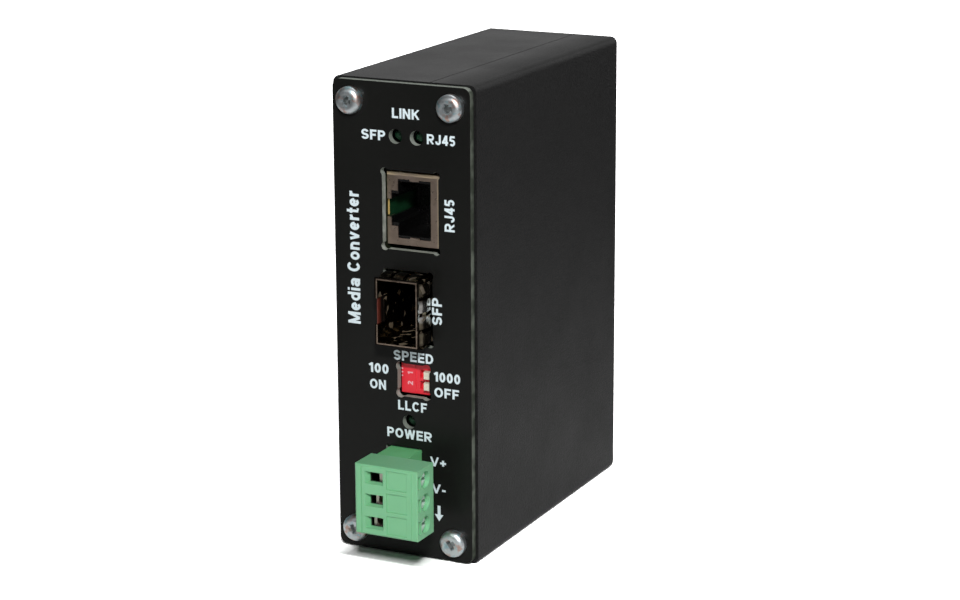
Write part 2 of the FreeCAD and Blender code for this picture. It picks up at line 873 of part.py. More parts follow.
def dip_slider(z):
    """Slider at the right end of its slot, with sloped flanks above the face."""
    x1 = dip_slot_start() + dip_slot_length - dip_slider_gap
    x0 = x1 - dip_slider_length
    half = dip_slider_width / 2
    floor_y = dip_face_y + dip_slot_depth - dip_slider_gap
    top_y = dip_face_y - dip_slider_rise
    slope = 0.25
    return prism_xy([(x0, floor_y), (x1, floor_y), (x1, dip_face_y), (x1 - slope, top_y),
                     (x0 + slope, top_y), (x0, dip_face_y)], z - half, z + half)


def dip_carrier():
    """Moulded foot that holds the switch upright on the board."""
    half = dip_height / 2 - 0.2
    y0 = dip_face_y + 0.4
    y1 = dip_face_y + dip_depth
    foot = block(board_face_x, dip_left_x, y0, y1, dip_z - half, dip_z + half)
    relief = block(board_face_x, dip_left_x - 1.0, y0 + 1.2, y1 - 1.2, dip_z - half, dip_z + half)
    return foot.cut(relief)


def dip_pins():
    """Four bent pins from the back of the switch down to the board."""
    y0 = dip_face_y + dip_depth
    size = 0.5
    pins = []
    for z in dip_slot_places():
        for row in (0, 1):
            x = dip_left_x + 1.2 + row * (dip_width - 2.4)
            y1 = y0 + 0.8 + row * 1.6
            outline = [(x, y0), (x, y1 - size), (board_face_x, y1 - size), (board_face_x, y1),
                       (x + size, y1), (x + size, y0)]
            pins.append(prism_xy(outline, z - size / 2, z + size / 2))
    return Part.makeCompound(pins)


# Indicator lamps

def lamp(x, z):
    """Round lamp along Y with a domed tip and a flange at its back."""
    tip_y = front_y - lamp_proud
    dome_y = tip_y + lamp_radius
    end_y = tip_y + lamp_length
    barrel = rod(lamp_radius, Vector(x, dome_y, z), Vector(0, 1, 0), end_y - dome_y)
    dome = Part.makeSphere(lamp_radius, Vector(x, dome_y, z))
    flange = rod(lamp_flange_radius, Vector(x, end_y - lamp_flange_length, z), Vector(0, 1, 0),
                 lamp_flange_length)
    return fuse_all([barrel, dome, flange])


def lamp_holder(places):
    """Block on the board with a stepped bore for each lamp."""
    y0 = front_y + lamp_holder_setback
    y1 = y0 + lamp_holder_length
    reach = lamp_flange_radius + lamp_holder_wall
    top_x = max(x for x, z in places) + reach
    z = places[0][1]
    holder = block(board_face_x, top_x, y0, y1, z - reach, z + reach)
    flange_y = front_y - lamp_proud + lamp_length - lamp_flange_length
    cuts = []
    for x, lamp_z in places:
        cuts.append(rod(lamp_radius + 0.05, Vector(x, y0, lamp_z), Vector(0, 1, 0), lamp_holder_length))
        seat = Vector(x, flange_y - 0.05, lamp_z)
        cuts.append(rod(lamp_flange_radius + 0.05, seat, Vector(0, 1, 0), y1 - flange_y + 1))
    return holder.cut(cuts)


# Pluggable screw terminal

def terminal_header():
    """Open-fronted shroud on the board. It stands out of the panel and the plug's spigot enters it."""
    cavity_half = spigot_half_length + header_fit
    outer = block(header_low_x, header_high_x, header_front_y, header_end_y,
                  plug_z - header_half_length, plug_z + header_half_length)
    corners = [edge for edge in outer.Edges
               if edge.CenterOfMass.x < header_low_x + 0.01 and abs(edge.CenterOfMass.z - plug_z) > cavity_half]
    outer = outer.makeChamfer(header_chamfer, corners)
    cavity = block(spigot_low_x - header_fit, spigot_high_x + header_fit, header_front_y - 1,
                   header_end_y - header_back, plug_z - cavity_half, plug_z + cavity_half)
    half = pin_size / 2
    holes = [block(pin_x - half, pin_x + half, header_end_y - header_back - 1, header_end_y + 1,
                   z - half, z + half)
             for z in pole_z]
    return outer.cut([cavity] + holes)


def header_pins():
    """Square pins that point forward in the shroud and turn down through the board behind it."""
    half = pin_size / 2
    y0 = header_front_y + pin_end_gap
    y1 = header_end_y + pin_tail
    low = board_back_x - 1.5
    pins = []
    for z in pole_z:
        outline = [(pin_x - half, y0 + 0.3), (pin_x - half + 0.25, y0), (pin_x + half - 0.25, y0),
                   (pin_x + half, y0 + 0.3), (pin_x + half, y1), (low, y1), (low, y1 - pin_size),
                   (pin_x - half, y1 - pin_size)]
        pins.append(prism_xy(outline, z - half, z + half))
    return Part.makeCompound(pins)


def wire_funnel(z):
    """Tapered wire entry from the plug's face to the clamp chamber."""
    face_y = plug_front_y - 0.01
    inner_y = plug_front_y + front_wall + 0.01

    def mouth(low, high, half, y):
        return Part.makePolygon([Vector(low, y, z - half), Vector(high, y, z - half), Vector(high, y, z + half),
                                 Vector(low, y, z + half), Vector(low, y, z - half)])

    outer = mouth(funnel_low_x, funnel_high_x, funnel_half_height, face_y)
    inner = mouth(throat_low_x, throat_high_x, throat_half_height, inner_y)
    return Part.makeLoft([outer, inner], True, True)


def pole_cuts(z):
    """Chamber, screw bore, contact channels and side slot of one pole."""
    chamber_y = plug_front_y + front_wall
    chamber = block(chamber_low_x, chamber_high_x, chamber_y, chamber_y + chamber_length,
                    z - chamber_half_width, z + chamber_half_width)
    axis_y = screw_axis_y()
    bore = rod(terminal_bore_radius, Vector(terminal_shoulder_x, axis_y, z), Vector(1, 0, 0), 9)
    neck_radius = terminal_screw_radius + terminal_screw_fit
    neck = rod(neck_radius, Vector(chamber_high_x - 1, axis_y, z), Vector(1, 0, 0),
               terminal_shoulder_x - chamber_high_x + 2)
    sleeve_half = sleeve_inner / 2 + sleeve_wall + 0.05
    channel = block(pin_x - sleeve_half, pin_x + sleeve_half, plug_back_y, spigot_end_y + 1,
                    z - sleeve_half, z + sleeve_half)
    crank = block(pin_x - sleeve_half, busbar_x + busbar_sheet + 0.05,
                  chamber_y + chamber_length - 1, plug_back_y, z - sleeve_half, z + sleeve_half)
    slot_y = plug_front_y + side_slot_setback
    slot = block(plug_right_x - side_slot_depth, plug_right_x + 1, slot_y, slot_y + side_slot_length,
                 z - side_slot_height / 2, z + side_slot_height / 2)
    return [chamber, bore, neck, channel, crank, slot, wire_funnel(z)]


def screw_axis_y():
    return plug_front_y + front_wall + chamber_length / 2


def face_relief():
    """Groove and shallow steps on the plug's front face."""
    low = plug_z - plug_half_length
    high = plug_z + plug_half_length
    y0 = plug_front_y
    outline = [(face_groove_x - 0.2, y0 - 0.1), (face_groove_x + 0.2, y0 - 0.1), (face_groove_x, y0 + 0.3)]
    groove = prism_xy(outline, low - 1, high + 1)
    cuts = [groove]
    for z in pole_z:
        cuts.append(block(face_step_x + 0.6, face_panel_high_x - 1.1, y0 - 1, y0 + face_step,
                          z - pole_pitch / 2 + rib_half_width, z + pole_pitch / 2 - rib_half_width))
    edge = block(face_panel_high_x, plug_right_x + 1, y0 - 1, y0 + face_step * 0.6, low - 1, high + 1)
    cuts.append(edge)
    return cuts


def plug_housing():
    """Green moulded plug: body and the narrower spigot that enters the header."""
    low = plug_z - plug_half_length
    high = plug_z + plug_half_length
    body = block(plug_left_x, plug_right_x, plug_front_y, plug_back_y, low, high)
    corners = [edge for edge in body.Edges if abs(edge.CenterOfMass.y - plug_front_y) < 0.01]
    body = body.makeChamfer(plug_edge, corners)
    spigot = block(spigot_low_x, spigot_high_x, plug_back_y, spigot_end_y,
                   low + spigot_step, high - spigot_step)
    solid = body.fuse(spigot)
    cuts = face_relief()
    for z in pole_z:
        cuts += pole_cuts(z)
    return solid.cut(cuts).removeSplitter()


def plug_contacts():
    """Cranked busbar through each clamp and the sleeve that slides over the header's pin."""
    contacts = []
    x0 = pin_x - sleeve_inner / 2 - sleeve_wall
    sleeve_outer = sleeve_inner + 2 * sleeve_wall
    y0 = plug_front_y + front_wall + 0.4
    sleeve_end = spigot_end_y - 0.6
    sleeve_start = sleeve_end - sleeve_length
    x1 = x0 + sleeve_outer
    bend_y = plug_back_y - 1.6
    outline = [(busbar_x, y0), (busbar_x + busbar_sheet, y0), (busbar_x + busbar_sheet, bend_y),
               (x1, plug_back_y), (x1, sleeve_start + 1), (x1 - busbar_sheet, sleeve_start + 1),
               (x1 - busbar_sheet, plug_back_y - 0.2), (busbar_x, bend_y - 0.2)]
    for z in pole_z:
        bar = prism_xy(outline, z - busbar_half_width, z + busbar_half_width)
        sleeve = block(x0, x0 + sleeve_outer, sleeve_start, sleeve_end,
                       z - sleeve_outer / 2, z + sleeve_outer / 2)
        bore = block(x0 + sleeve_wall, x0 + sleeve_wall + sleeve_inner, sleeve_start - 1, sleeve_end + 1,
                     z - sleeve_inner / 2, z + sleeve_inner / 2)
        contacts.append(fuse_all([bar, sleeve.cut(bore)]))
    return Part.makeCompound(contacts)


def plug_clamp(z, bar_x):
    """Rising clamp: a square ring round the busbar, threaded on the screw at its right end."""
    x0 = bar_x - clamp_bar / 2
    y_mid = screw_axis_y()
    half_length = clamp_length / 2
    half = clamp_width / 2
    outer = block(x0, x0 + clamp_size, y_mid - half_length, y_mid + half_length, z - half, z + half)
    inner = block(x0 + clamp_bar, x0 + clamp_size - clamp_bar, y_mid - half_length, y_mid + half_length,
                  z - half + clamp_cheek, z + half - clamp_cheek)
    radius = terminal_screw_radius + terminal_screw_fit
    thread = rod(radius, Vector(x0 + clamp_size - clamp_bar - 0.5, y_mid, z), Vector(1, 0, 0), clamp_bar + 1)
    return outer.cut([inner, thread])


def plug_screw(z):
    """Slotted terminal screw along X, captive under the plug's side bore."""
    y_mid = screw_axis_y()
    shank = rod(terminal_screw_radius, Vector(terminal_screw_end_x, y_mid, z), Vector(1, 0, 0),
                terminal_shoulder_x - terminal_screw_end_x)
    top = terminal_shoulder_x + terminal_head_height
    head = rod(terminal_head_radius, Vector(terminal_shoulder_x, y_mid, z), Vector(1, 0, 0),
               terminal_head_height)
    rim = [edge for edge in head.Edges if edge.CenterOfMass.x > top - 0.01]
    head = head.makeChamfer(0.25, rim)
    slot = block(top - terminal_slot_depth, top + 1, y_mid - 5, y_mid + 5,
                 z - terminal_slot_width / 2, z + terminal_slot_width / 2)
    return fuse_all([shank, head]).cut(slot)


# Parts on the board

def leaded_chip(y, z, side, height, leads_per_side, lead_pitch):
    """Square chip with gull-wing leads on four sides."""
    half = side / 2
    lift = 0.15
    body = block(board_face_x + lift, board_face_x + height, y - half, y + half, z - half, z + half)
    edges = [edge for edge in body.Edges if edge.CenterOfMass.x > board_face_x + height - 0.01]
    pieces = [body.makeChamfer(0.15, edges)]
    lead = lead_pitch * 0.45 / 2
    reach = half + 1.0
    mid = (leads_per_side - 1) / 2
    for index in range(leads_per_side):
        offset = (index - mid) * lead_pitch
        top = board_face_x + 0.3
        pieces.append(block(board_face_x, top, y - reach, y + reach, z + offset - lead, z + offset + lead))
        pieces.append(block(board_face_x, top, y + offset - lead, y + offset + lead, z - reach, z + reach))
    return fuse_all(pieces)


def board_place(row, setback):
    """Place on the board as (y, z)."""
    return board_end_y - setback, first_row_z + row * row_span


def controller_chip():
    y, z = board_place(controller_row, controller_setback)
    return leaded_chip(y, z, controller_side, controller_height, controller_lead_count, controller_lead_pitch)


def small_chip(row, setback):
    y, z = board_place(row, setback)
    return leaded_chip(y, z, small_chip_side, small_chip_height, small_chip_lead_count, small_chip_lead_pitch)


def magnetics_module():
    """Pulse transformer behind the copper socket, with two rows of legs."""
    y0 = front_y + jack_depth + magnetics_gap
    y1 = y0 + magnetics_length
    half = magnetics_width / 2
    top = board_face_x + magnetics_height
    body = block(board_face_x + 0.3, top, y0, y1, jack_z - half, jack_z + half)
    edges = [edge for edge in body.Edges if edge.CenterOfMass.x > top - 0.01]
    pieces = [body.makeChamfer(0.4, edges)]
    for index in range(magnetics_leg_count):
        z = jack_z + (index - (magnetics_leg_count - 1) / 2) * magnetics_leg_pitch
        pieces.append(block(board_face_x, board_face_x + 0.5, y0 - 1.2, y1 + 1.2, z - 0.3, z + 0.3))
    return fuse_all(pieces)


def crystal():
    """Metal can with rounded ends on a flat foot."""
    y, z = board_place(crystal_row, crystal_setback)
    margin = 2 * crystal_foot_margin
    can = rounded_can(y, z, crystal_length, crystal_width, crystal_height)
    foot = rounded_can(y, z, crystal_length + margin, crystal_width + margin, crystal_foot_margin)
    return fuse_all([can, foot])


def rounded_can(y, z, length, width, height):
    half = length / 2 - width / 2
    bar = block(board_face_x, board_face_x + height, y - half, y + half, z - width / 2, z + width / 2)
    ends = [rod(width / 2, Vector(board_face_x, y + side * half, z), Vector(1, 0, 0), height)
            for side in (-1, 1)]
    return bar.multiFuse(ends).removeSplitter()


def power_inductor():
    """Square shielded choke with cut corners and a round lid."""
    y, z = board_place(inductor_row, inductor_setback)
    half = inductor_side / 2
    top = board_face_x + inductor_height
    base = block(board_face_x, top, y - half, y + half, z - half, z + half)
    edges = [edge for edge in base.Edges if abs(edge.tangentAt(edge.FirstParameter).x) > 0.9]
    base = base.makeChamfer(inductor_corner, edges)
    lid = rod(inductor_lid_radius, Vector(top, y, z), Vector(1, 0, 0), 0.1 * inductor_height)
    return fuse_all([base, lid])


def electrolytic_capacitors():
    """Two cans on square feet, each with a groove rolled in above its foot."""
    cans = []
    half = can_foot_side / 2
    foot_top = board_face_x + can_foot_height
    for row in can_rows:
        y, z = board_place(row, can_setback)
        foot = block(board_face_x, foot_top, y - half, y + half, z - half, z + half)
        can = rod(can_radius, Vector(foot_top, y, z), Vector(1, 0, 0), can_height)
        groove_path = can_radius + can_groove_radius - can_groove_depth
        groove = Part.makeTorus(groove_path, can_groove_radius, Vector(foot_top + 3 * can_groove_radius, y, z),
                                Vector(1, 0, 0))
        cans.append(fuse_all([foot, can]).cut(groove))
    return Part.makeCompound(cans)


def input_diode():
    y, z = board_place(diode_row, diode_setback)
    half_length = diode_length / 2
    half_width = diode_width / 2
    body = block(board_face_x + 0.1, board_face_x + diode_height, y - half_length, y + half_length,
                 z - half_width, z + half_width)
    reach = half_length + 0.4
    tab = half_width / 2
    leads = block(board_face_x, board_face_x + 0.4 * diode_height, y - reach, y + reach, z - tab, z + tab)
    return fuse_all([body, leads])


def ceramic_capacitors():
    """Row of small chip capacitors beside the controller."""
    parts = []
    y, middle = board_place(ceramic_row, ceramic_setback)
    half_length = ceramic_length / 2
    half_width = ceramic_width / 2
    for index in range(ceramic_count):
        z = middle + (index - (ceramic_count - 1) / 2) * ceramic_pitch
        parts.append(block(board_face_x, board_face_x + ceramic_width, y - half_length, y + half_length,
                           z - half_width, z + half_width))
    return Part.makeCompound(parts)


# Rail clip

def clip_screw_places():
    z = (slot_top_z() + rail_top_z) / 2
    return [(-clip_screw_spacing / 2, z), (clip_screw_spacing / 2, z)]


def clip_stop_z():
    """Underside of the fixed lug, which the latch window rests against."""
    return rail_z - 11.0


def slot_top_z():
    return clip_stop_z() + lug_height + spring_length + latch_top_below + 1.0


def din_base():
    """Plate with the fixed upper hook and a T-shaped slot for the latch."""
    low = rail_bottom_z - clip_bottom_margin
    high = rail_top_z + clip_fit + clip_top_margin
    y0 = rear_face_y
    plate = block(-clip_half_width, clip_half_width, y0, clip_seat_y, low, high)
    hook = prism_yz([(clip_seat_y, rail_top_z + clip_fit), (lip_start_y, rail_top_z + clip_fit),
                     (lip_start_y, rail_top_z + clip_fit - lip_overlap),
                     (lip_end_y - 0.9, rail_top_z + clip_fit - lip_overlap), (lip_end_y, rail_top_z - 1.0),
                     (lip_end_y, high - 2.5), (lip_end_y - 2.5, high), (clip_seat_y, high)],
                    -clip_half_width, clip_half_width)
    wide = block(-slot_wide_half, slot_wide_half, y0 + slot_floor, y0 + slot_floor + slot_step,
                 low - 1, slot_top_z())
    narrow = block(-slot_narrow_half, slot_narrow_half, y0 + slot_floor, clip_seat_y + 1, low - 1, slot_top_z())
    groove_radius = spring_radius + spring_wire + 0.15
    groove = rod(groove_radius, Vector(0, spring_axis_y(), clip_stop_z() + lug_height), Vector(0, 0, 1),
                 spring_length)
    lug = block(-lug_half_width, lug_half_width, y0 + slot_floor, clip_seat_y - latch_clearance,
                clip_stop_z(), clip_stop_z() + lug_height)
    cuts = [wide, narrow, groove]
    for x, z in clip_screw_places():
        cuts.append(rod(screw_radius + screw_hole_clearance, Vector(x, y0 - 1, z), Vector(0, 1, 0),
                        clip_plate + 2))
        cuts.append(rod(clip_head_radius + screw_hole_clearance, Vector(x, clip_seat_y - clip_head_height, z),
                        Vector(0, 1, 0), clip_head_height + 1))
    return fuse_all([plate.fuse(hook).cut(cuts), lug])


def spring_axis_y():
    return clip_seat_y - latch_clearance - spring_radius - spring_wire - 0.1


def din_latch():
    """Sprung latch in the slot, with the lower lip and a pull tab below the plate."""
    gap = latch_clearance
    y0 = rear_face_y + slot_floor
    low = rail_bottom_z - clip_bottom_margin - latch_tab
    top = slot_top_z() - 1.0
    wide = block(-slot_wide_half + gap, slot_wide_half - gap, y0 + gap, y0 + slot_step - gap, low, top)
    narrow = block(-slot_narrow_half + gap, slot_narrow_half - gap, y0 + gap, clip_seat_y - gap, low, top)
    lip = prism_yz([(clip_seat_y - gap, low), (lip_end_y, low), (lip_end_y, rail_bottom_z - 0.6),
                    (lip_end_y - 1.4, rail_bottom_z - clip_fit + lip_overlap),
                    (lip_start_y, rail_bottom_z - clip_fit + lip_overlap),
                    (lip_start_y, rail_bottom_z - clip_fit), (clip_seat_y - gap, rail_bottom_z - clip_fit)],
                   -slot_narrow_half + gap, slot_narrow_half - gap)
    window = block(-window_half_width, window_half_width, y0 - 1, clip_seat_y + 1,
                   clip_stop_z() - gap, clip_stop_z() + lug_height + spring_length)
    tab_hole = block(-latch_tab_hole, latch_tab_hole, rear_face_y, lip_end_y + 1,
                     low + 1.6, low + 1.6 + latch_tab_hole)
    return fuse_all([wide, narrow, lip]).cut([window, tab_hole])


def din_spring():
    """Coil spring between the fixed lug and the top of the latch's window."""
    low = clip_stop_z() + lug_height + spring_wire
    pitch = (spring_length - 2 * spring_wire) / spring_turn_count
    path = Part.makeHelix(pitch, pitch * spring_turn_count, spring_radius)
    section = Part.Wire(Part.makeCircle(spring_wire, Vector(spring_radius, 0, 0), Vector(0, 1, 0)))
    coil = Part.Wire(path).makePipeShell([section], True, True)
    coil.translate(Vector(0, spring_axis_y(), low))
    return coil


def din_screws():
    seat_y = clip_seat_y - clip_head_height
    length = seat_y - back_y + nut_height + 0.6
    screws = [pan_head_screw(x, seat_y, z, 1, length, clip_head_radius, clip_head_height, 30)
              for x, z in clip_screw_places()]
    return Part.makeCompound(screws)


def din_nuts():
    """Hexagon nuts on the inner face of the rear panel."""
    nuts = []
    corner = nut_flat / math.sqrt(3)
    for x, z in clip_screw_places():
        outline = []
        for step in range(6):
            angle = math.radians(60 * step)
            outline.append((x + corner * math.cos(angle), z + corner * math.sin(angle)))
        nut = prism_xz(outline, back_y - nut_height, back_y)
        bore = rod(screw_radius + channel_clearance, Vector(x, back_y - nut_height, z), Vector(0, 1, 0),
                   nut_height)
        nuts.append(nut.cut(bore))
    return Part.makeCompound(nuts)


def build():
    tube = extruded_tube()
    save("case_body", case_body(tube))
    save("case_cover", case_cover(tube))
    save("front_panel", front_panel())
    save("rear_panel", rear_panel())
    save("front_screws", corner_screws(panel_front_y, -1))
    save("rear_screws", corner_screws(rear_face_y, 1))
    save("main_board", main_board())
    save("rj45_shield", rj45_shield())
    save("rj45_housing", rj45_housing())
    save("rj45_insert", rj45_insert())
    save("rj45_contacts", rj45_contacts())
    save("sfp_cage", sfp_cage())
    save("sfp_spring_collar", sfp_spring_collar())
    save("sfp_connector", sfp_connector())
    save("cage_insulator", cage_insulator())
    save("dip_body", dip_body())
    save("dip_carrier", dip_carrier())
    save("dip_pins", dip_pins())
    for number, z in enumerate(dip_slot_places(), 1):
        save("dip_slider_" + str(number), dip_slider(z))
    places = lamp_places()
    save("link_lamp_holder", lamp_holder(places[:2]))
    save("power_lamp_holder", lamp_holder(places[2:]))
    save("link_lamp_fibre", lamp(*places[0]))
    save("link_lamp_copper", lamp(*places[1]))
    save("power_lamp", lamp(*places[2]))
    save("terminal_header", terminal_header())
    save("header_pins", header_pins())
    save("plug_housing", plug_housing())
    save("plug_contacts", plug_contacts())
    for number, z in enumerate(pole_z, 1):
        save("plug_clamp_" + str(number), plug_clamp(z, clamp_rest_x[number - 1]))
        save("plug_screw_" + str(number), plug_screw(z))
    save("controller_chip", controller_chip())
    save("memory_chip", small_chip(memory_row, memory_setback))
    save("regulator_chip", small_chip(regulator_row, regulator_setback))
    save("magnetics_module", magnetics_module())
    save("crystal", crystal())
    save("power_inductor", power_inductor())
    save("electrolytic_capacitors", electrolytic_capacitors())
    save("input_diode", input_diode())
    save("ceramic_capacitors", ceramic_capacitors())
    save("din_base", din_base())
    save("din_latch", din_latch())
    save("din_spring", din_spring())
    save("din_screws", din_screws())
    save("din_nuts", din_nuts())


build()
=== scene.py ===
import json
import math

import bpy
from mathutils import Matrix, Vector


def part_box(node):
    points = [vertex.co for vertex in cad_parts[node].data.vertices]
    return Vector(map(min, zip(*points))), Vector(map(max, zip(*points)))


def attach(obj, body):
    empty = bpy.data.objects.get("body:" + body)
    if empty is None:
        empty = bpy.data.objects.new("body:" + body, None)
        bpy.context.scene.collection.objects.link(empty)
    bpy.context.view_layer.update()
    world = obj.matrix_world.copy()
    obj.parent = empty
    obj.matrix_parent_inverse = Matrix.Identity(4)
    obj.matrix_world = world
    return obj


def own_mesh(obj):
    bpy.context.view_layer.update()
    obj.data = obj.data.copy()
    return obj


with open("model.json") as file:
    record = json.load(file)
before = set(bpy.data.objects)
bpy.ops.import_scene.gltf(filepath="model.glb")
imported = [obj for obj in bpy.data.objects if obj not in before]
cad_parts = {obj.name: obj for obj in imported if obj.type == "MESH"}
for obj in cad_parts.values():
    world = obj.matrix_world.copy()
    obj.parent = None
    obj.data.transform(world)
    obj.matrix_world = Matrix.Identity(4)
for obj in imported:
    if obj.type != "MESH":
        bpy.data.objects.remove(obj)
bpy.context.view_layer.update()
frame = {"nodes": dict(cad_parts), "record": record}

MM = 0.001

# Places on the object, in metres
panel_low, panel_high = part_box("front_panel")
dip_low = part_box("dip_body")[0]
plug_low, plug_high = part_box("plug_housing")
cage_low, cage_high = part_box("sfp_cage")
jack_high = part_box("rj45_shield")[1]
board_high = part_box("main_board")[1]
screws_low, screws_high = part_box("front_screws")
cover_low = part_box("case_cover")[0]

# Sizes on the object, in metres
EDGE_ROUNDING = 0.12 * MM
# Width of the panel's outer edge that gets painted shade
PANEL_RIM = 0.6 * MM
SCREW_HEAD_RADIUS = 3.0 * MM
RECESS_RADIUS = 1.7 * MM
# Depth in the screw recesses from which painted shade starts
RECESS_SHADE_FROM = 0.45 * MM
# Widths of the painted golden highlight on the socket shell's side and top bends
SHELL_HIGHLIGHT_SIDE = 1.05 * MM
SHELL_HIGHLIGHT_TOP = 0.75 * MM
CAGE_RIM = 0.05 * MM
# Depth inside the cage's mouth from which the brown film gets painted shade
FILM_SHADE_FROM = 1.4 * MM
CHAMBER_LEFT_WALL = 1.6 * MM
CHAMBER_RIGHT_WALL = 3.4 * MM
CHAMBER_FRONT_WALL = 1.2 * MM
CHAMBER_DEPTH = 6.9 * MM
CHAMBER_END_WALL = 0.4 * MM
PLATED_STRIP = (76.4 * MM, 80.1 * MM)
PLATED_WIDTH = 0.45 * MM

# Heights between which the cage's fingers get a painted highlight
cage_height = cage_high.z - cage_low.z
cage_lit = (cage_low.z + 0.36 * cage_height, cage_low.z + 0.72 * cage_height)

# Strip of floor beside the case that is painted darker for the camera, as painted shade
SHADE_ACROSS = (-18.0 * MM, 10.0 * MM)
SHADE_ALONG = (-45.5 * MM, 45.5 * MM)

# Camera at the photograph's place
CAMERA_PLACE = Vector((247.7, -503.8, 196.1)) * MM
CAMERA_FORWARD = Vector((-0.4274, 0.8704, -0.2442))
CAMERA_UP = Vector((-0.104, 0.221, 0.9697))
CAMERA_LENS = 94.35
CAMERA_SHIFT = (-0.0036, -0.024)

# Place that the lamps look at
LAMP_TARGET = Vector((0, 0, 50)) * MM

# Printed lettering on the front panel
PRINT_THICKNESS = 0.03 * MM
PRINT_COLOUR = (0.68, 0.80, 0.85, 1)
LETTER_HEIGHT = 2.2  # in millimetres


def aim(obj, place, forward, up):
    """Turn obj so that it looks along forward from place."""
    back = -forward.normalized()
    right = up.cross(back).normalized()
    up = back.cross(right)
    turn = Matrix((right, up, back)).transposed().to_4x4()
    obj.matrix_world = Matrix.Translation(place) @ turn


# Finishes

class Finish:
    """Material made of nodes, with short calls for the nodes that the finishes share."""

    def __init__(self, name):
        self.material = bpy.data.materials.new(name)
        self.material.use_nodes = True
        self.tree = self.material.node_tree
        self.tree.nodes.clear()
        self.place = self.add("ShaderNodeTexCoord").outputs["Object"]
        self.shader = self.add("ShaderNodeBsdfPrincipled")
        self.output = self.add("ShaderNodeOutputMaterial")
        self.link(self.shader.outputs["BSDF"], self.output.inputs["Surface"])

    def add(self, kind, **settings):
        node = self.tree.nodes.new(kind)
        for key, value in settings.items():
            setattr(node, key, value)
        return node

    def link(self, source, target):
        self.tree.links.new(source, target)

    def put(self, socket, value):
        """Set a socket to a number or colour, or link it to another socket."""
        if isinstance(value, bpy.types.NodeSocket):
            self.link(value, socket)
        else:
            socket.default_value = value

    def set(self, **values):
        for key, value in values.items():
            self.put(self.shader.inputs[key.replace("_", " ")], value)

    def noise(self, size, detail=3.0, rough=0.5, stretch=None, offset=0.0):
        """Noise whose grains are about size metres across."""
        node = self.add("ShaderNodeTexNoise")
        place = self.place
        if stretch or offset:
            mapping = self.add("ShaderNodeMapping")
            self.link(place, mapping.inputs["Vector"])
            mapping.inputs["Scale"].default_value = stretch or (1, 1, 1)
            mapping.inputs["Location"].default_value = (offset, offset, offset)
            place = mapping.outputs["Vector"]
        self.link(place, node.inputs["Vector"])
        node.inputs["Scale"].default_value = 1 / size
        node.inputs["Detail"].default_value = detail
        node.inputs["Roughness"].default_value = rough
        return node.outputs["Fac"]

    def cells(self, size):
        node = self.add("ShaderNodeTexVoronoi")
        self.link(self.place, node.inputs["Vector"])
        node.inputs["Scale"].default_value = 1 / size
        return node.outputs["Distance"]

    def ramp(self, value, low, high, start=0.0, end=1.0):
        """Numbers from low to high map to start to end, without overshoot."""
        node = self.add("ShaderNodeMapRange")
        self.put(node.inputs["Value"], value)
        node.inputs["From Min"].default_value = low
        node.inputs["From Max"].default_value = high
        node.inputs["To Min"].default_value = start
        node.inputs["To Max"].default_value = end
        return node.outputs["Result"]

    def between(self, value, low, high, soft=0.3 * MM):
        """One where the value lies between low and high, and zero outside."""
        middle = (low + high) / 2
        half = (high - low) / 2
        away = self.maths("ABSOLUTE", self.maths("SUBTRACT", value, middle))
        return self.ramp(away, half - soft, half, 1.0, 0.0)

    def mix(self, share, first, second):
        node = self.add("ShaderNodeMix", data_type="RGBA")
        self.put(node.inputs["Factor"], share)
        self.put(node.inputs[6], first)
        self.put(node.inputs[7], second)
        return node.outputs[2]

    def maths(self, operation, first, second=0.0):
        node = self.add("ShaderNodeMath", operation=operation)
        self.put(node.inputs[0], first)
        self.put(node.inputs[1], second)
        return node.outputs["Value"]

    def axis(self, name, normal=False):
        """One coordinate of the point, or of its surface normal, in the object's own frame."""
        split = self.add("ShaderNodeSeparateXYZ")
        source = self.place
        if normal:
            source = self.add("ShaderNodeTexCoord").outputs["Normal"]
        self.link(source, split.inputs["Vector"])
        return split.outputs[name]

    def bump(self, height, depth, strength=1.0, edge=0.0):
        """Surface relief. With an edge in metres, sharp edges catch the light as if rounded by it."""
        node = self.add("ShaderNodeBump")
        if edge:
            soft = self.add("ShaderNodeBevel", samples=4)
            soft.inputs["Radius"].default_value = edge
            self.link(soft.outputs["Normal"], node.inputs["Normal"])
        self.link(height, node.inputs["Height"])
        node.inputs["Distance"].default_value = depth
        node.inputs["Strength"].default_value = strength
        self.link(node.outputs["Normal"], self.shader.inputs["Normal"])


def colour(red, green, blue):
    return (red, green, blue, 1)


def powder_coat(name="case_coating", duller=0.0):
    """Black powder coat with a fine grain.

    Faces that look up get rougher to the right, by duller at most.
    """
    finish = Finish(name)
    grain = finish.noise(0.00045, 4.0, 0.6)
    broad = finish.noise(0.018, 3.0, 0.5)
    shade = finish.mix(finish.ramp(grain, 0.35, 0.65),
                       colour(0.005, 0.005, 0.005), colour(0.016, 0.016, 0.016))
    rough = finish.ramp(broad, 0.3, 0.7, 0.40, 0.48)
    if duller:
        upward = finish.ramp(finish.axis("Z", normal=True), 0.6, 0.8)
        outward = finish.ramp(finish.axis("X"), cover_low.x + 0.5 * MM, panel_high.x - 1.5 * MM,
                              0.0, duller)
        rough = finish.maths("ADD", rough, finish.maths("MULTIPLY", upward, outward))
    finish.set(Base_Color=shade, Roughness=rough)
    finish.shader.inputs["Specular IOR Level"].default_value = 0.25
    finish.bump(grain, 0.00012, 0.9)
    return finish.material


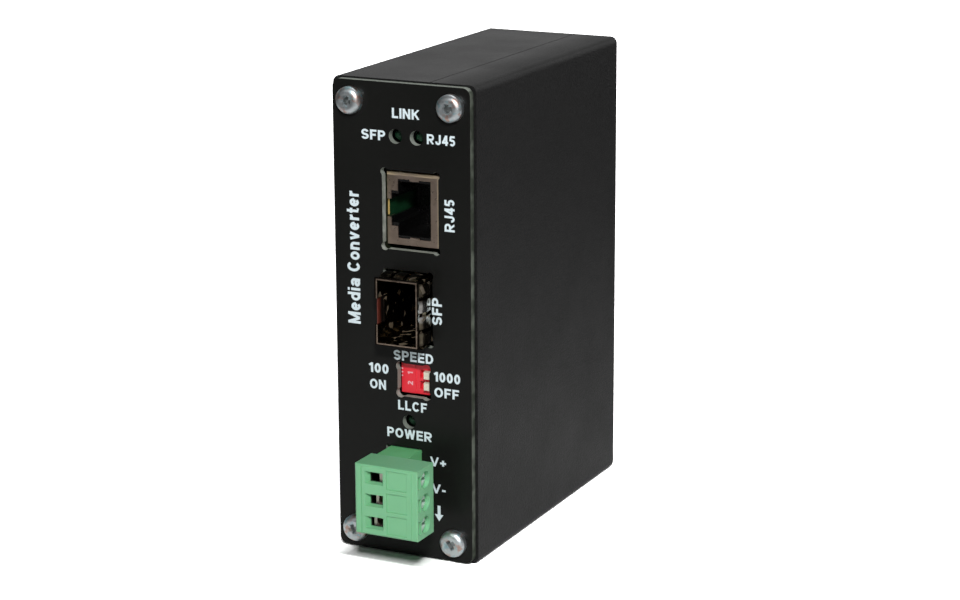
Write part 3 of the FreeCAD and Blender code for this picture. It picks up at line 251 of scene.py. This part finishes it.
def panel_mask():
    """Black solder mask on the faces, bare glass laminate on the edges and in the holes. The laminate of the
    outer right edge gets painted shade.
    """
    finish = Finish("panel_mask")
    fibre = finish.noise(0.0005, 4.0, 0.6, stretch=(1, 6, 1))
    blotch = finish.noise(0.004, 2.0)
    haze = finish.noise(0.02, 3.0, offset=0.4)
    edge = finish.mix(finish.ramp(fibre, 0.3, 0.7), colour(0.17, 0.19, 0.165), colour(0.32, 0.35, 0.31))
    edge = finish.mix(finish.ramp(blotch, 0.55, 0.75), edge, colour(0.46, 0.49, 0.45))
    # Painted shade: the laminate on the panel's outer right edge, beside the case, is darker than in the
    # holes
    rim = finish.ramp(finish.axis("X"), panel_high.x - PANEL_RIM, panel_high.x - PANEL_RIM / 2)
    side = finish.mix(finish.ramp(blotch, 0.4, 0.65), colour(0.05, 0.06, 0.045), colour(0.15, 0.17, 0.14))
    edge = finish.mix(rim, edge, side)
    mask = finish.mix(haze, colour(0.0066, 0.0068, 0.0062), colour(0.0106, 0.0108, 0.0100))
    facing = finish.maths("ABSOLUTE", finish.axis("Y", normal=True))
    on_face = finish.ramp(facing, 0.6, 0.8)
    finish.set(Base_Color=finish.mix(on_face, edge, mask), Roughness=finish.ramp(on_face, 0, 1, 0.7, 0.30))
    finish.shader.inputs["Specular IOR Level"].default_value = 0.18
    finish.bump(finish.noise(0.0012, 3.0), 0.00001, 0.5, EDGE_ROUNDING)
    return finish.material


def zinc(name="zinc_screw", recess=False):
    """Blue zinc plate with faint rainbow tints. The cross recesses of the corner screws get painted shade
    inside.
    """
    finish = Finish(name)
    patch = finish.noise(0.0016, 2.0, 0.5)
    other = finish.noise(0.0012, 2.0, 0.5, offset=0.7)
    tint = finish.mix(finish.ramp(patch, 0.52, 0.66), colour(0.78, 0.83, 0.85), colour(0.68, 0.48, 0.42))
    tint = finish.mix(finish.ramp(other, 0.55, 0.68), tint, colour(0.50, 0.70, 0.74))
    if recess:
        centre_x = screws_high.x - SCREW_HEAD_RADIUS
        middle_z = (screws_low.z + screws_high.z) / 2
        centre_z = screws_high.z - SCREW_HEAD_RADIUS - middle_z
        aside = finish.maths("SUBTRACT", finish.maths("ABSOLUTE", finish.axis("X")), centre_x)
        above = finish.maths("SUBTRACT", finish.axis("Z"), middle_z)
        above = finish.maths("SUBTRACT", finish.maths("ABSOLUTE", above), centre_z)
        away = finish.maths("SQRT", finish.maths("ADD", finish.maths("MULTIPLY", aside, aside),
                                                 finish.maths("MULTIPLY", above, above)))
        inner = finish.ramp(away, RECESS_RADIUS, RECESS_RADIUS + 0.1 * MM, 1.0, 0.0)
        # Painted shade: inside each cross recess, from a little depth on, the zinc turns dark grey
        recess_shade_from = screws_low.y + RECESS_SHADE_FROM
        shaded_depth = finish.ramp(finish.axis("Y"), recess_shade_from, recess_shade_from + 0.2 * MM)
        tint = finish.mix(finish.maths("MULTIPLY", inner, shaded_depth), tint, colour(0.36, 0.38, 0.38))
    finish.set(Base_Color=tint, Metallic=1.0, Roughness=finish.ramp(other, 0.3, 0.7, 0.34, 0.50))
    finish.bump(finish.noise(0.0007, 3.0), 0.00002, 0.5)
    return finish.material


def rolled_metal(name, light, dark, low_rough, high_rough, wear_and_highlight=None):
    """Sheet metal with a faint rolled grain, fingerprints and slight waves.

    The bends that meet at the given corner get a painted golden highlight.
    """
    finish = Finish(name)
    grain = finish.noise(0.0006, 4.0, 0.6, stretch=(1, 0.15, 1))
    smudge = finish.noise(0.005, 2.0, offset=0.3)
    tone = finish.mix(finish.ramp(smudge, 0.35, 0.7), light, dark)
    rough = finish.ramp(grain, 0.3, 0.7, low_rough, high_rough)
    # Painted highlight: bands along the right and top bends of the shell turn bright gold
    if wear_and_highlight:
        side_highlight_from = wear_and_highlight.x - SHELL_HIGHLIGHT_SIDE
        top_highlight_from = wear_and_highlight.z - SHELL_HIGHLIGHT_TOP
        bend_highlight = finish.maths("MAXIMUM", finish.ramp(finish.axis("X"), side_highlight_from, side_highlight_from + 0.2 * MM),
                            finish.ramp(finish.axis("Z"), top_highlight_from, top_highlight_from + 0.2 * MM))
        bend_highlight = finish.maths("MULTIPLY", bend_highlight, finish.ramp(smudge, 0.3, 0.6, 0.5, 1.0))
        tone = finish.mix(bend_highlight, tone, colour(0.90, 0.74, 0.52))
        rough = finish.maths("ADD", rough, finish.maths("MULTIPLY", bend_highlight, 0.3))
    finish.set(Base_Color=tone, Metallic=1.0, Roughness=rough)
    finish.bump(finish.noise(0.003, 2.0, offset=0.9), 0.00002, 0.6)
    return finish.material


def cage_finish(name, light, dark, glint_colour, glint_from, lit=None):
    """Spring sheet with painted glints in the given glint colour, where its dents rise past the given
    threshold.

    A painted highlight brightens a zone between the two heights lit, and cut edges behind the rim get
    painted shade.
    """
    finish = Finish(name)
    stain = finish.noise(0.0022, 2.0, offset=0.3)
    dent = finish.noise(0.0018, 0.5, offset=0.6)
    glint = finish.ramp(dent, glint_from, glint_from + 0.06)
    tone = finish.mix(finish.ramp(stain, 0.40, 0.62), light, dark)
    if lit:
        # Painted highlight: the fingers between the two heights lit get a pale bright colour
        zone = finish.between(finish.axis("Z"), lit[0], lit[1], 1.2 * MM)
        tone = finish.mix(zone, tone, colour(0.72, 0.70, 0.66))
    # Painted glints: bright spots in the glint colour where the dents rise past the threshold
    tone = finish.mix(glint, tone, glint_colour)
    # Painted shade: front faces behind the thin rim are near black, while the rim keeps its brown
    front = finish.ramp(finish.axis("Y", normal=True), -0.9, -0.6, 1.0, 0.0)
    shaded_depth = finish.ramp(finish.axis("Y"), cage_low.y + CAGE_RIM, cage_low.y + 3 * CAGE_RIM)
    cut = finish.mix(shaded_depth, colour(0.40, 0.31, 0.24), colour(0.02, 0.015, 0.012))
    finish.set(Base_Color=finish.mix(front, tone, cut), Metallic=1.0,
               Roughness=finish.ramp(glint, 0, 1, 0.18, 0.5))
    finish.bump(dent, 0.0002, 0.5)
    return finish.material


def moulding(name, light, dark, rough, grain=0.0003, depth=0.000008, scatter=0.0):
    """Moulded plastic: fine texture, faint flow marks and slight tone changes."""
    finish = Finish(name)
    flow = finish.noise(0.006, 3.0, 0.5, stretch=(1, 1, 0.4))
    fine = finish.noise(grain, 3.0, 0.6)
    finish.set(Base_Color=finish.mix(finish.ramp(flow, 0.3, 0.7), light, dark),
               Roughness=finish.ramp(fine, 0.3, 0.7, rough - 0.06, rough + 0.06))
    finish.shader.inputs["Subsurface Weight"].default_value = scatter
    finish.shader.inputs["Subsurface Scale"].default_value = 0.0006
    finish.bump(fine, depth, 0.7, EDGE_ROUNDING)
    return finish.material


def plug_plastic():
    """Green moulding whose clamp chambers behind the wire entries get painted shade, near black."""
    finish = Finish("plug_plastic")
    flow = finish.noise(0.006, 3.0, 0.5, stretch=(1, 1, 0.4))
    fine = finish.noise(0.0003, 3.0, 0.6)
    green = finish.mix(finish.ramp(flow, 0.3, 0.7), colour(0.225, 0.565, 0.300), colour(0.205, 0.530, 0.280))
    # Painted shade: the clamp chambers inside the plug are near black
    across = finish.between(finish.axis("X"), plug_low.x + CHAMBER_LEFT_WALL,
                            plug_high.x - CHAMBER_RIGHT_WALL)
    along = finish.between(finish.axis("Y"), plug_low.y + CHAMBER_FRONT_WALL, plug_low.y + CHAMBER_DEPTH)
    upright = finish.between(finish.axis("Z"), plug_low.z + CHAMBER_END_WALL,
                             plug_high.z - CHAMBER_END_WALL, 0.1 * MM)
    inside = finish.maths("MULTIPLY", finish.maths("MULTIPLY", across, along), upright)
    finish.set(Base_Color=finish.mix(inside, green, colour(0.004, 0.006, 0.004)),
               Roughness=finish.ramp(fine, 0.3, 0.7, 0.36, 0.48))
    finish.shader.inputs["Subsurface Weight"].default_value = 0.08
    finish.shader.inputs["Subsurface Scale"].default_value = 0.0006
    finish.bump(fine, 0.000008, 0.7, EDGE_ROUNDING)
    return finish.material


def lens():
    finish = Finish("lamp_lens")
    swirl = finish.noise(0.0012, 2.0)
    finish.set(Base_Color=finish.mix(swirl, colour(0.002, 0.020, 0.008), colour(0.004, 0.034, 0.014)),
               Roughness=finish.ramp(swirl, 0.3, 0.7, 0.22, 0.3))
    finish.bump(swirl, 0.00001, 0.4)
    return finish.material


def film():
    """Red-brown insulating film, with painted shade beyond the mouth of the cage."""
    finish = Finish("brown_film")
    mottle = finish.noise(0.0012, 3.0)
    brown = finish.mix(mottle, colour(0.09, 0.016, 0.010), colour(0.16, 0.034, 0.020))
    # Painted shade: the film turns near black a little way inside the cage's mouth
    film_shade_from = cage_low.y + FILM_SHADE_FROM
    shaded_depth = finish.ramp(finish.axis("Y"), film_shade_from, film_shade_from + 1.0 * MM)
    finish.set(Base_Color=finish.mix(shaded_depth, brown, colour(0.006, 0.004, 0.003)),
               Roughness=finish.ramp(mottle, 0.3, 0.7, 0.35, 0.5))
    finish.bump(mottle, 0.00001, 0.5)
    return finish.material


def board():
    """Dark green solder mask with a faint weave. Cut edges are olive, and gold behind the copper socket."""
    finish = Finish("board_mask")
    weave = finish.cells(0.0008)
    tone = finish.noise(0.01, 2.0)
    mask = finish.mix(tone, colour(0.004, 0.030, 0.011), colour(0.007, 0.048, 0.018))
    on_face = finish.ramp(finish.maths("ABSOLUTE", finish.axis("X", normal=True)), 0.6, 0.8)
    plated_from = board_high.x - PLATED_WIDTH
    plated = finish.maths("MULTIPLY", finish.between(finish.axis("Z"), *PLATED_STRIP),
                          finish.ramp(finish.axis("X"), plated_from, plated_from + 0.1 * MM))
    edge = finish.mix(plated, colour(0.012, 0.014, 0.006), colour(0.50, 0.36, 0.12))
    finish.set(Base_Color=finish.mix(on_face, edge, mask),
               Roughness=finish.ramp(weave, 0.0, 0.8, 0.28, 0.40))
    finish.bump(weave, 0.00001, 0.4)
    return finish.material


def print_ink(name, light, dark):
    finish = Finish(name)
    speckle = finish.noise(0.00018, 3.0, 0.6)
    patchy = finish.noise(0.002, 2.0)
    tone = finish.mix(patchy, light, dark)
    wear_and_highlight = finish.mix(0.5, dark, colour(0, 0, 0))
    finish.set(Base_Color=finish.mix(finish.ramp(speckle, 0.25, 0.42), wear_and_highlight, tone),
               Roughness=finish.ramp(patchy, 0.3, 0.7, 0.45, 0.6))
    finish.bump(speckle, 0.000008, 0.5)
    return finish.material


FINISHES = {
    "case_coating": powder_coat(),
    "panel_mask": panel_mask(),
    "zinc_screw": zinc(),
    "board_mask": board(),
    "socket_shell": rolled_metal("socket_shell", colour(0.62, 0.49, 0.40), colour(0.48, 0.37, 0.29),
                                 0.26, 0.40, wear_and_highlight=jack_high),
    "black_moulding": moulding("black_moulding", colour(0.002, 0.002, 0.002), colour(0.004, 0.004, 0.004),
                               0.30),
    "gold_contact": rolled_metal("gold_contact", colour(0.85, 0.60, 0.25), colour(0.75, 0.50, 0.20),
                                 0.18, 0.30),
    "cage_metal": cage_finish("cage_metal", colour(0.20, 0.17, 0.12), colour(0.07, 0.055, 0.04),
                              glint_colour=colour(0.50, 0.43, 0.33), glint_from=0.64, lit=cage_lit),
    "brown_film": film(),
    "red_moulding": moulding("red_moulding", colour(0.86, 0.030, 0.050), colour(0.78, 0.024, 0.042), 0.35),
    "cream_moulding": moulding("cream_moulding", colour(0.78, 0.74, 0.60), colour(0.70, 0.66, 0.53), 0.4),
    "tinned_metal": rolled_metal("tinned_metal", colour(0.74, 0.74, 0.72), colour(0.62, 0.62, 0.60),
                                 0.22, 0.36),
    "lamp_lens": lens(),
    "green_moulding": moulding("green_moulding", colour(0.175, 0.560, 0.235), colour(0.155, 0.520, 0.215),
                               0.40, scatter=0.12),
    "grey_ferrite": moulding("grey_ferrite", colour(0.10, 0.10, 0.105), colour(0.07, 0.07, 0.075), 0.6),
    "tan_ceramic": moulding("tan_ceramic", colour(0.42, 0.30, 0.19), colour(0.36, 0.25, 0.15), 0.5),
    "clip_moulding": moulding("clip_moulding", colour(0.030, 0.031, 0.032), colour(0.022, 0.023, 0.024),
                              0.5, grain=0.0005, depth=0.00002),
    "spring_steel": rolled_metal("spring_steel", colour(0.56, 0.55, 0.53), colour(0.46, 0.45, 0.43),
                                 0.20, 0.32),
}

# Nodes whose finish differs from the others of their slot
special = {
    "case_cover": powder_coat("cover_coating", duller=0.18),
    "plug_housing": plug_plastic(),
    "sfp_cage": cage_finish("cage_inside", colour(0.30, 0.23, 0.12), colour(0.08, 0.06, 0.035),
                            glint_colour=colour(0.95, 0.80, 0.58), glint_from=0.585),
    "front_screws": zinc("corner_screw", recess=True),
}
terminal_metal = rolled_metal("terminal_screw", colour(0.92, 0.93, 0.95), colour(0.70, 0.72, 0.75),
                              0.45, 0.60)
clamp_metal = rolled_metal("clamp_metal", colour(0.86, 0.76, 0.70), colour(0.76, 0.66, 0.60), 0.35, 0.50)
for pole in (1, 2, 3):
    special["plug_screw_%d" % pole] = terminal_metal
    special["plug_clamp_%d" % pole] = clamp_metal

slot_of_node = {part["node"]: part["material_slot"] for part in frame["record"]["subparts"]}
for node, obj in frame["nodes"].items():
    obj.data.materials.clear()
    obj.data.materials.append(special.get(node) or FINISHES[slot_of_node[node]])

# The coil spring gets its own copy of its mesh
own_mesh(frame["nodes"]["din_spring"])


# Printed lettering

# Stroke, gap and widths of the letters, with one letter's height as the unit
LETTER_STROKE = 0.205
LETTER_GAP = 0.13
LETTER_WIDTHS = {
    "C": 0.76, "D": 0.74, "E": 0.64, "F": 0.61, "I": 0.19, "J": 0.58, "K": 0.76, "L": 0.60, "M": 0.88,
    "N": 0.74, "O": 0.80, "P": 0.69, "R": 0.76, "S": 0.70, "V": 0.92, "W": 1.08,
    "a": 0.62, "d": 0.64, "e": 0.62, "i": 0.19, "n": 0.60, "o": 0.64, "r": 0.40, "t": 0.38, "v": 0.64,
    "0": 0.58, "1": 0.36, "2": 0.60, "4": 0.64, "5": 0.60, "+": 0.60, "-": 0.36, " ": 0.26,
}


def arc(x, y, across, up, start, end, steps=14):
    """Points along part of an ellipse about x, y, with angles in degrees."""
    points = []
    for step in range(steps + 1):
        angle = math.radians(start + (end - start) * step / steps)
        points.append((x + across * math.cos(angle), y + up * math.sin(angle)))
    return points


def letter_lines(letter):
    """Middle lines of a letter's strokes, one unit tall."""
    w = LETTER_WIDTHS[letter]
    h = LETTER_STROKE / 2
    stem = [(h, 0), (h, 1)]
    top = [(0, 1 - h), (w, 1 - h)]
    foot = [(0, h), (w, h)]
    bowl = 0.27 - h / 2
    low = 0.73
    ring = arc(w / 2, low / 2, w / 2 - h, low / 2 - h, 0, 360, 24)
    head = [(0, 1 - h)] + arc(w - h - bowl, 1 - h - bowl, bowl, bowl, 90, -90) + [(0, 1 - h - 2 * bowl)]
    lines = {
        "C": [arc(w / 2, 0.5, w / 2 - h, 0.5 - h, 38, 322, 24)],
        "D": [stem, [(0, 1 - h)] + arc(0.42 * w, 0.5, 0.58 * w - h, 0.5 - h, 90, -90, 20) + [(0, h)]],
        "E": [stem, top, foot, [(0, 0.51), (0.94 * w, 0.51)]],
        "F": [stem, top, [(0, 0.49), (0.88 * w, 0.49)]],
        "I": [stem],
        "J": [[(w - h, 1)] + arc(w / 2, w / 2, w / 2 - h, w / 2 - h, 0, -180) + [(h, 0.34)]],
        "K": [stem, [(h, 0.36), (w - h, 1)], [(0.38 * w, 0.58), (w - h, 0)]],
        "L": [stem, foot],
        "M": [stem, [(w - h, 0), (w - h, 1)], [(h, 1), (w / 2, 0.08)], [(w - h, 1), (w / 2, 0.08)]],
        "N": [stem, [(w - h, 0), (w - h, 1)], [(h, 1), (w - h, 0)]],
        "O": [arc(w / 2, 0.5, w / 2 - h, 0.5 - h, 0, 360, 28)],
        "P": [stem, head],
        "R": [stem, head, [(0.42 * w, 0.46), (w - h, 0)]],
        "S": [arc(w / 2, 0.75 - h / 2, w / 2 - h, 0.25 - h / 2, 15, 270, 18)
              + arc(w / 2, 0.25 + h / 2, w / 2 - h, 0.25 - h / 2, 90, -165, 18)],
        "V": [[(h, 1), (w / 2, 0)], [(w - h, 1), (w / 2, 0)]],
        "W": [[(h, 1), (0.28 * w, 0)], [(0.28 * w, 0), (w / 2, 1)], [(w / 2, 1), (0.72 * w, 0)],
              [(0.72 * w, 0), (w - h, 1)]],
        "a": [arc(w / 2, 0.47, w / 2 - h, 0.26 - h, 165, 0) + [(w - h, 0)],
              arc(0.47 * w, 0.23, 0.47 * w - h, 0.23 - h, 0, 360, 20)],
        "d": [ring, [(w - h, 0), (w - h, 1)]],
        "e": [arc(w / 2, low / 2, w / 2 - h, low / 2 - h, 0, 318, 24), [(h, low / 2), (w - h, low / 2)]],
        "i": [[(h, 0), (h, low)], [(h, 0.85), (h, 1)]],
        "n": [[(h, 0), (h, low)], arc(w / 2, low - w / 2, w / 2 - h, w / 2 - h, 160, 0) + [(w - h, 0)]],
        "o": [ring],
        "r": [[(h, 0), (h, low)], arc(w, low - 0.32, w - h, 0.32 - h, 165, 90)],
        "t": [[(0.45 * w, 0.96), (0.45 * w, 0.10), (w, 0.09)], [(0, low - h), (w, low - h)]],
        "v": [[(h, low), (w / 2, 0)], [(w - h, low), (w / 2, 0)]],
        "0": [arc(w / 2, 0.5, w / 2 - h, 0.5 - h, 0, 360, 28)],
        "1": [[(w - h, 0), (w - h, 1)], [(w - h, 0.92), (0, 0.72)]],
        "2": [arc(w / 2, 1 - w / 2, w / 2 - h, w / 2 - h, 160, -35) + [(h, 0.1)], foot],
        "4": [[(0.70 * w, 0), (0.70 * w, 1)], [(0, 0.29), (w, 0.29)], [(0.66 * w, 0.96), (h, 0.29)]],
        "5": [[(0.14 * w, 1 - h), (0.94 * w, 1 - h)], [(0.22 * w, 1 - h), (0.17 * w, 0.48)],
              arc(w / 2, 0.33, w / 2 - h, 0.33 - h, 140, -150, 20)],
        "+": [[(0, 0.42), (w, 0.42)], [(w / 2, 0.12), (w / 2, 0.72)]],
        "-": [[(0, 0.36), (w, 0.36)]],
        " ": [],
    }
    return lines[letter]


def outline_of(points, thick):
    """Left and right edges of a stroke along points, with mitred bends."""
    left = []
    right = []
    last = len(points) - 1
    for index, point in enumerate(points):
        before = Vector(points[max(index - 1, 0)])
        after = Vector(points[min(index + 1, last)])
        along = (after - before).normalized()
        side = Vector((-along.y, along.x)) * thick / 2
        left.append(Vector(point) + side)
        right.append(Vector(point) - side)
    return left, right


class Print:
    """Thin raised ink made of strips, kept as one mesh."""

    def __init__(self):
        self.vertices = []
        self.faces = []
        self.layers = 0

    def strip(self, left, right):
        """Closed strip between two edges. Each strip is a little thicker than the last one."""
        self.layers += 1
        depth = 1 + 0.02 * self.layers
        start = len(self.vertices)
        count = len(left)
        for level in (0, depth):
            self.vertices += [(point.x, point.y, level) for point in left]
            self.vertices += [(point.x, point.y, level) for point in right]
        for index in range(count - 1):
            a = start + index
            b = a + count
            for base in (0, 2 * count):
                self.faces.append((a + base, a + 1 + base, b + 1 + base, b + base))
            self.faces.append((a, a + 1, a + 1 + 2 * count, a + 2 * count))
            self.faces.append((b, b + 1, b + 1 + 2 * count, b + 2 * count))
        for index in (0, count - 1):
            a = start + index
            self.faces.append((a, a + count, a + 3 * count, a + 2 * count))

    def line(self, points, shift, thick=LETTER_STROKE):
        left, right = outline_of(points, thick)
        for edge in (left, right):
            for point in edge:
                point.y = min(max(point.y, 0), 1)
                point.x += shift
        self.strip(left, right)


def print_words(words):
    ink = Print()
    shift = 0.0
    for letter in words:
        for points in letter_lines(letter):
            ink.line(points, shift)
        shift += LETTER_WIDTHS[letter] + LETTER_GAP
    return ink, shift - LETTER_GAP


def place_ink(name, ink, size, x, z, wide, tall, upright, face_y, finish):
    """Ink of the given size in its own units. Its middle is at x, z in millimetres on the face at face_y."""
    mesh = bpy.data.meshes.new(name)
    vertices = []
    for across, up, level in ink.vertices:
        u = (across / size[0] - 0.5) * wide * MM
        v = (up / size[1] - 0.5) * tall * MM
        if upright:
            u, v = -v, u
        vertices.append((x * MM + u, face_y - level * PRINT_THICKNESS, z * MM + v))
    mesh.from_pydata(vertices, [], ink.faces)
    mesh.materials.append(finish)
    obj = bpy.data.objects.new(name, mesh)
    bpy.context.scene.collection.objects.link(obj)
    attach(obj, "chassis")


def lettering(name, words, x, z, width, height=LETTER_HEIGHT, upright=False):
    """Words on the panel whose middle is at x, z in millimetres. They read to the right, or up."""
    ink, length = print_words(words)
    place_ink(name, ink, (length, 1), x, z, width, height, upright, panel_low.y, INK)


def earth_arrow(x, z, width, height):
    """Arrow that points down to the third terminal."""
    ink = Print()
    ink.strip([Vector((0.33, 0.35)), Vector((0.33, 1))], [Vector((0.67, 0.35)), Vector((0.67, 1))])
    ink.strip([Vector((0, 0.43)), Vector((0.5, 0))], [Vector((1, 0.43)), Vector((0.5, 0.0001))])
    place_ink("print_earth", ink, (1, 1), x, z, width, height, False, panel_low.y, INK)


def switch_marks():
    """Numbers of the two ways and short dashes at the switch's left edge."""
    tall = 1.3
    number_x = 0.7
    dash_x = -1.25
    marks = [("print_way_1", "1", number_x, 41.7, 0.5, True),
             ("print_way_2", "2", number_x, 39.4, 0.85, True)]
    for index, z in enumerate((42.7, 41.9, 41.1)):
        marks.append(("print_dash_%d" % (index + 1), "-", dash_x, z, 0.35, False))
    for name, mark, x, z, wide, upright in marks:
        ink, length = print_words(mark)
        place_ink(name, ink, (length, 1), x, z, wide, tall, upright, dip_low.y, SWITCH_INK)


INK = print_ink("print_ink", PRINT_COLOUR, colour(0.76, 0.86, 0.89))
SWITCH_INK = print_ink("switch_ink", colour(0.88, 0.50, 0.54), colour(0.84, 0.40, 0.45))
lettering("print_link", "LINK", 1.24, 99.4, 6.6)
lettering("print_link_fibre", "SFP", -6.66, 94.3, 5.8)
lettering("print_link_copper", "RJ45", 9.6, 94.4, 6.7)
lettering("print_copper_socket", "RJ45", 11.5, 78.2, 7.0, 2.4, upright=True)
lettering("print_fibre_bay", "SFP", 8.3, 56.8, 6.0, 2.4, upright=True)
lettering("print_kind", "Media Converter", -12.0, 66.7, 29.6, 3.1, upright=True)
lettering("print_speed", "SPEED", 2.44, 45.95, 9.7)
lettering("print_speed_low", "100", -6.1, 42.4, 4.8)
lettering("print_on", "ON", -6.4, 38.7, 4.0)
lettering("print_speed_high", "1000", 10.65, 42.2, 6.3)
lettering("print_off", "OFF", 10.5, 38.7, 6.0)
lettering("print_link_loss", "LLCF", 2.1, 34.7, 7.1)
lettering("print_power", "POWER", 1.27, 28.2, 11.0)
lettering("print_plus", "V+", 8.24, 22.8, 3.9)
lettering("print_minus", "V-", 8.35, 16.65, 3.4)
earth_arrow(8.4, 11.0, 2.1, 3.6)
switch_marks()


# Stage, light and camera

def stage_finish(name, shade):
    """Paper that looks white, and that shows in gloss as a bright patch round the object."""
    finish = Finish(name)
    path = finish.add("ShaderNodeLightPath")
    gloss = finish.maths("MAXIMUM", path.outputs["Is Glossy Ray"], path.outputs["Is Transmission Ray"])
    diffuse = finish.add("ShaderNodeBsdfDiffuse")
    paper = finish.noise(0.002, 2.0)
    plain = finish.mix(paper, shade, tuple(0.98 * part for part in shade[:3]) + (1,))
    reach = finish.add("ShaderNodeVectorMath", operation="LENGTH")
    finish.link(finish.place, reach.inputs[0])
    away = reach.outputs["Value"]
    patch = finish.mix(finish.ramp(away, 0.05, 0.40), colour(0.8, 0.8, 0.8), colour(0.06, 0.06, 0.06))
    # Painted shade: beside the case the floor's colour for the camera drops to 0.8, well below the white
    # round it
    shaded = finish.maths("MULTIPLY", finish.between(finish.axis("X"), *SHADE_ACROSS, 6.0 * MM),
                          finish.between(finish.axis("Y"), *SHADE_ALONG, 1.5 * MM))
    white = finish.mix(finish.ramp(away, 0.4, 1.4), colour(3.0, 3.0, 3.0), colour(12.0, 12.0, 12.0))
    white = finish.mix(shaded, white, colour(0.8, 0.8, 0.8))
    bright = finish.mix(gloss, plain, patch)
    bright = finish.mix(path.outputs["Is Camera Ray"], bright, white)
    finish.link(bright, diffuse.inputs["Color"])
    finish.tree.nodes.remove(finish.shader)
    finish.link(diffuse.outputs["BSDF"], finish.output.inputs["Surface"])
    return finish.material


def floor():
    half = 1.6
    mesh = bpy.data.meshes.new("floor")
    corners = [(-half, -half, 0), (half, -half, 0), (half, half, 0), (-half, half, 0)]
    mesh.from_pydata(corners, [], [(0, 1, 2, 3)])
    obj = bpy.data.objects.new("floor", mesh)
    bpy.context.scene.collection.objects.link(obj)
    mesh.materials.append(stage_finish("floor", colour(0.80, 0.80, 0.80)))


def softbox(name, place, width, height, power):
    """Rectangular lamp that looks at the middle of the object."""
    light = bpy.data.lights.new(name, "AREA")
    light.shape = "RECTANGLE"
    light.size = width
    light.size_y = height
    light.energy = power
    obj = bpy.data.objects.new(name, light)
    bpy.context.scene.collection.objects.link(obj)
    aim(obj, Vector(place), LAMP_TARGET - Vector(place), Vector((0, 0, 1)))


def surroundings():
    """White for the camera. The object sees a pale room that is darker in front of it than behind."""
    world = bpy.data.worlds.new("room")
    world.use_nodes = True
    bpy.context.scene.world = world
    tree = world.node_tree
    tree.nodes.clear()
    output = tree.nodes.new("ShaderNodeOutputWorld")
    background = tree.nodes.new("ShaderNodeBackground")
    path = tree.nodes.new("ShaderNodeLightPath")
    place = tree.nodes.new("ShaderNodeTexCoord")
    split = tree.nodes.new("ShaderNodeSeparateXYZ")
    slope = tree.nodes.new("ShaderNodeMapRange")
    room = tree.nodes.new("ShaderNodeMix")
    room.data_type = "RGBA"
    shown = tree.nodes.new("ShaderNodeMix")
    shown.data_type = "RGBA"
    tree.links.new(place.outputs["Generated"], split.inputs["Vector"])
    tree.links.new(split.outputs["Y"], slope.inputs["Value"])
    slope.inputs["From Min"].default_value = 0.1
    slope.inputs["From Max"].default_value = 0.6
    tree.links.new(slope.outputs["Result"], room.inputs["Factor"])
    room.inputs[6].default_value = colour(0.03, 0.03, 0.03)
    room.inputs[7].default_value = colour(0.55, 0.55, 0.55)
    tree.links.new(path.outputs["Is Camera Ray"], shown.inputs["Factor"])
    tree.links.new(room.outputs[2], shown.inputs[6])
    shown.inputs[7].default_value = colour(1, 1, 1)
    tree.links.new(shown.outputs[2], background.inputs["Color"])
    tree.links.new(background.outputs["Background"], output.inputs["Surface"])


def camera():
    data = bpy.data.cameras.new("camera")
    data.lens = CAMERA_LENS
    data.sensor_width = 36
    data.shift_x, data.shift_y = CAMERA_SHIFT
    data.clip_start = 0.01
    data.clip_end = 20
    obj = bpy.data.objects.new("camera", data)
    bpy.context.scene.collection.objects.link(obj)
    aim(obj, CAMERA_PLACE, CAMERA_FORWARD, CAMERA_UP)
    bpy.context.scene.camera = obj


floor()
surroundings()
softbox("key_light", (0.44, -0.815, 0.68), width=0.12, height=0.12, power=10.0)
softbox("fill_light", (-0.45, -0.85, 0.55), width=0.6, height=0.5, power=0.3)
softbox("top_light", (0.05, 0.40, 0.9), width=0.6, height=0.6, power=1.8)
camera()
bpy.context.scene.view_settings.view_transform = "Standard"
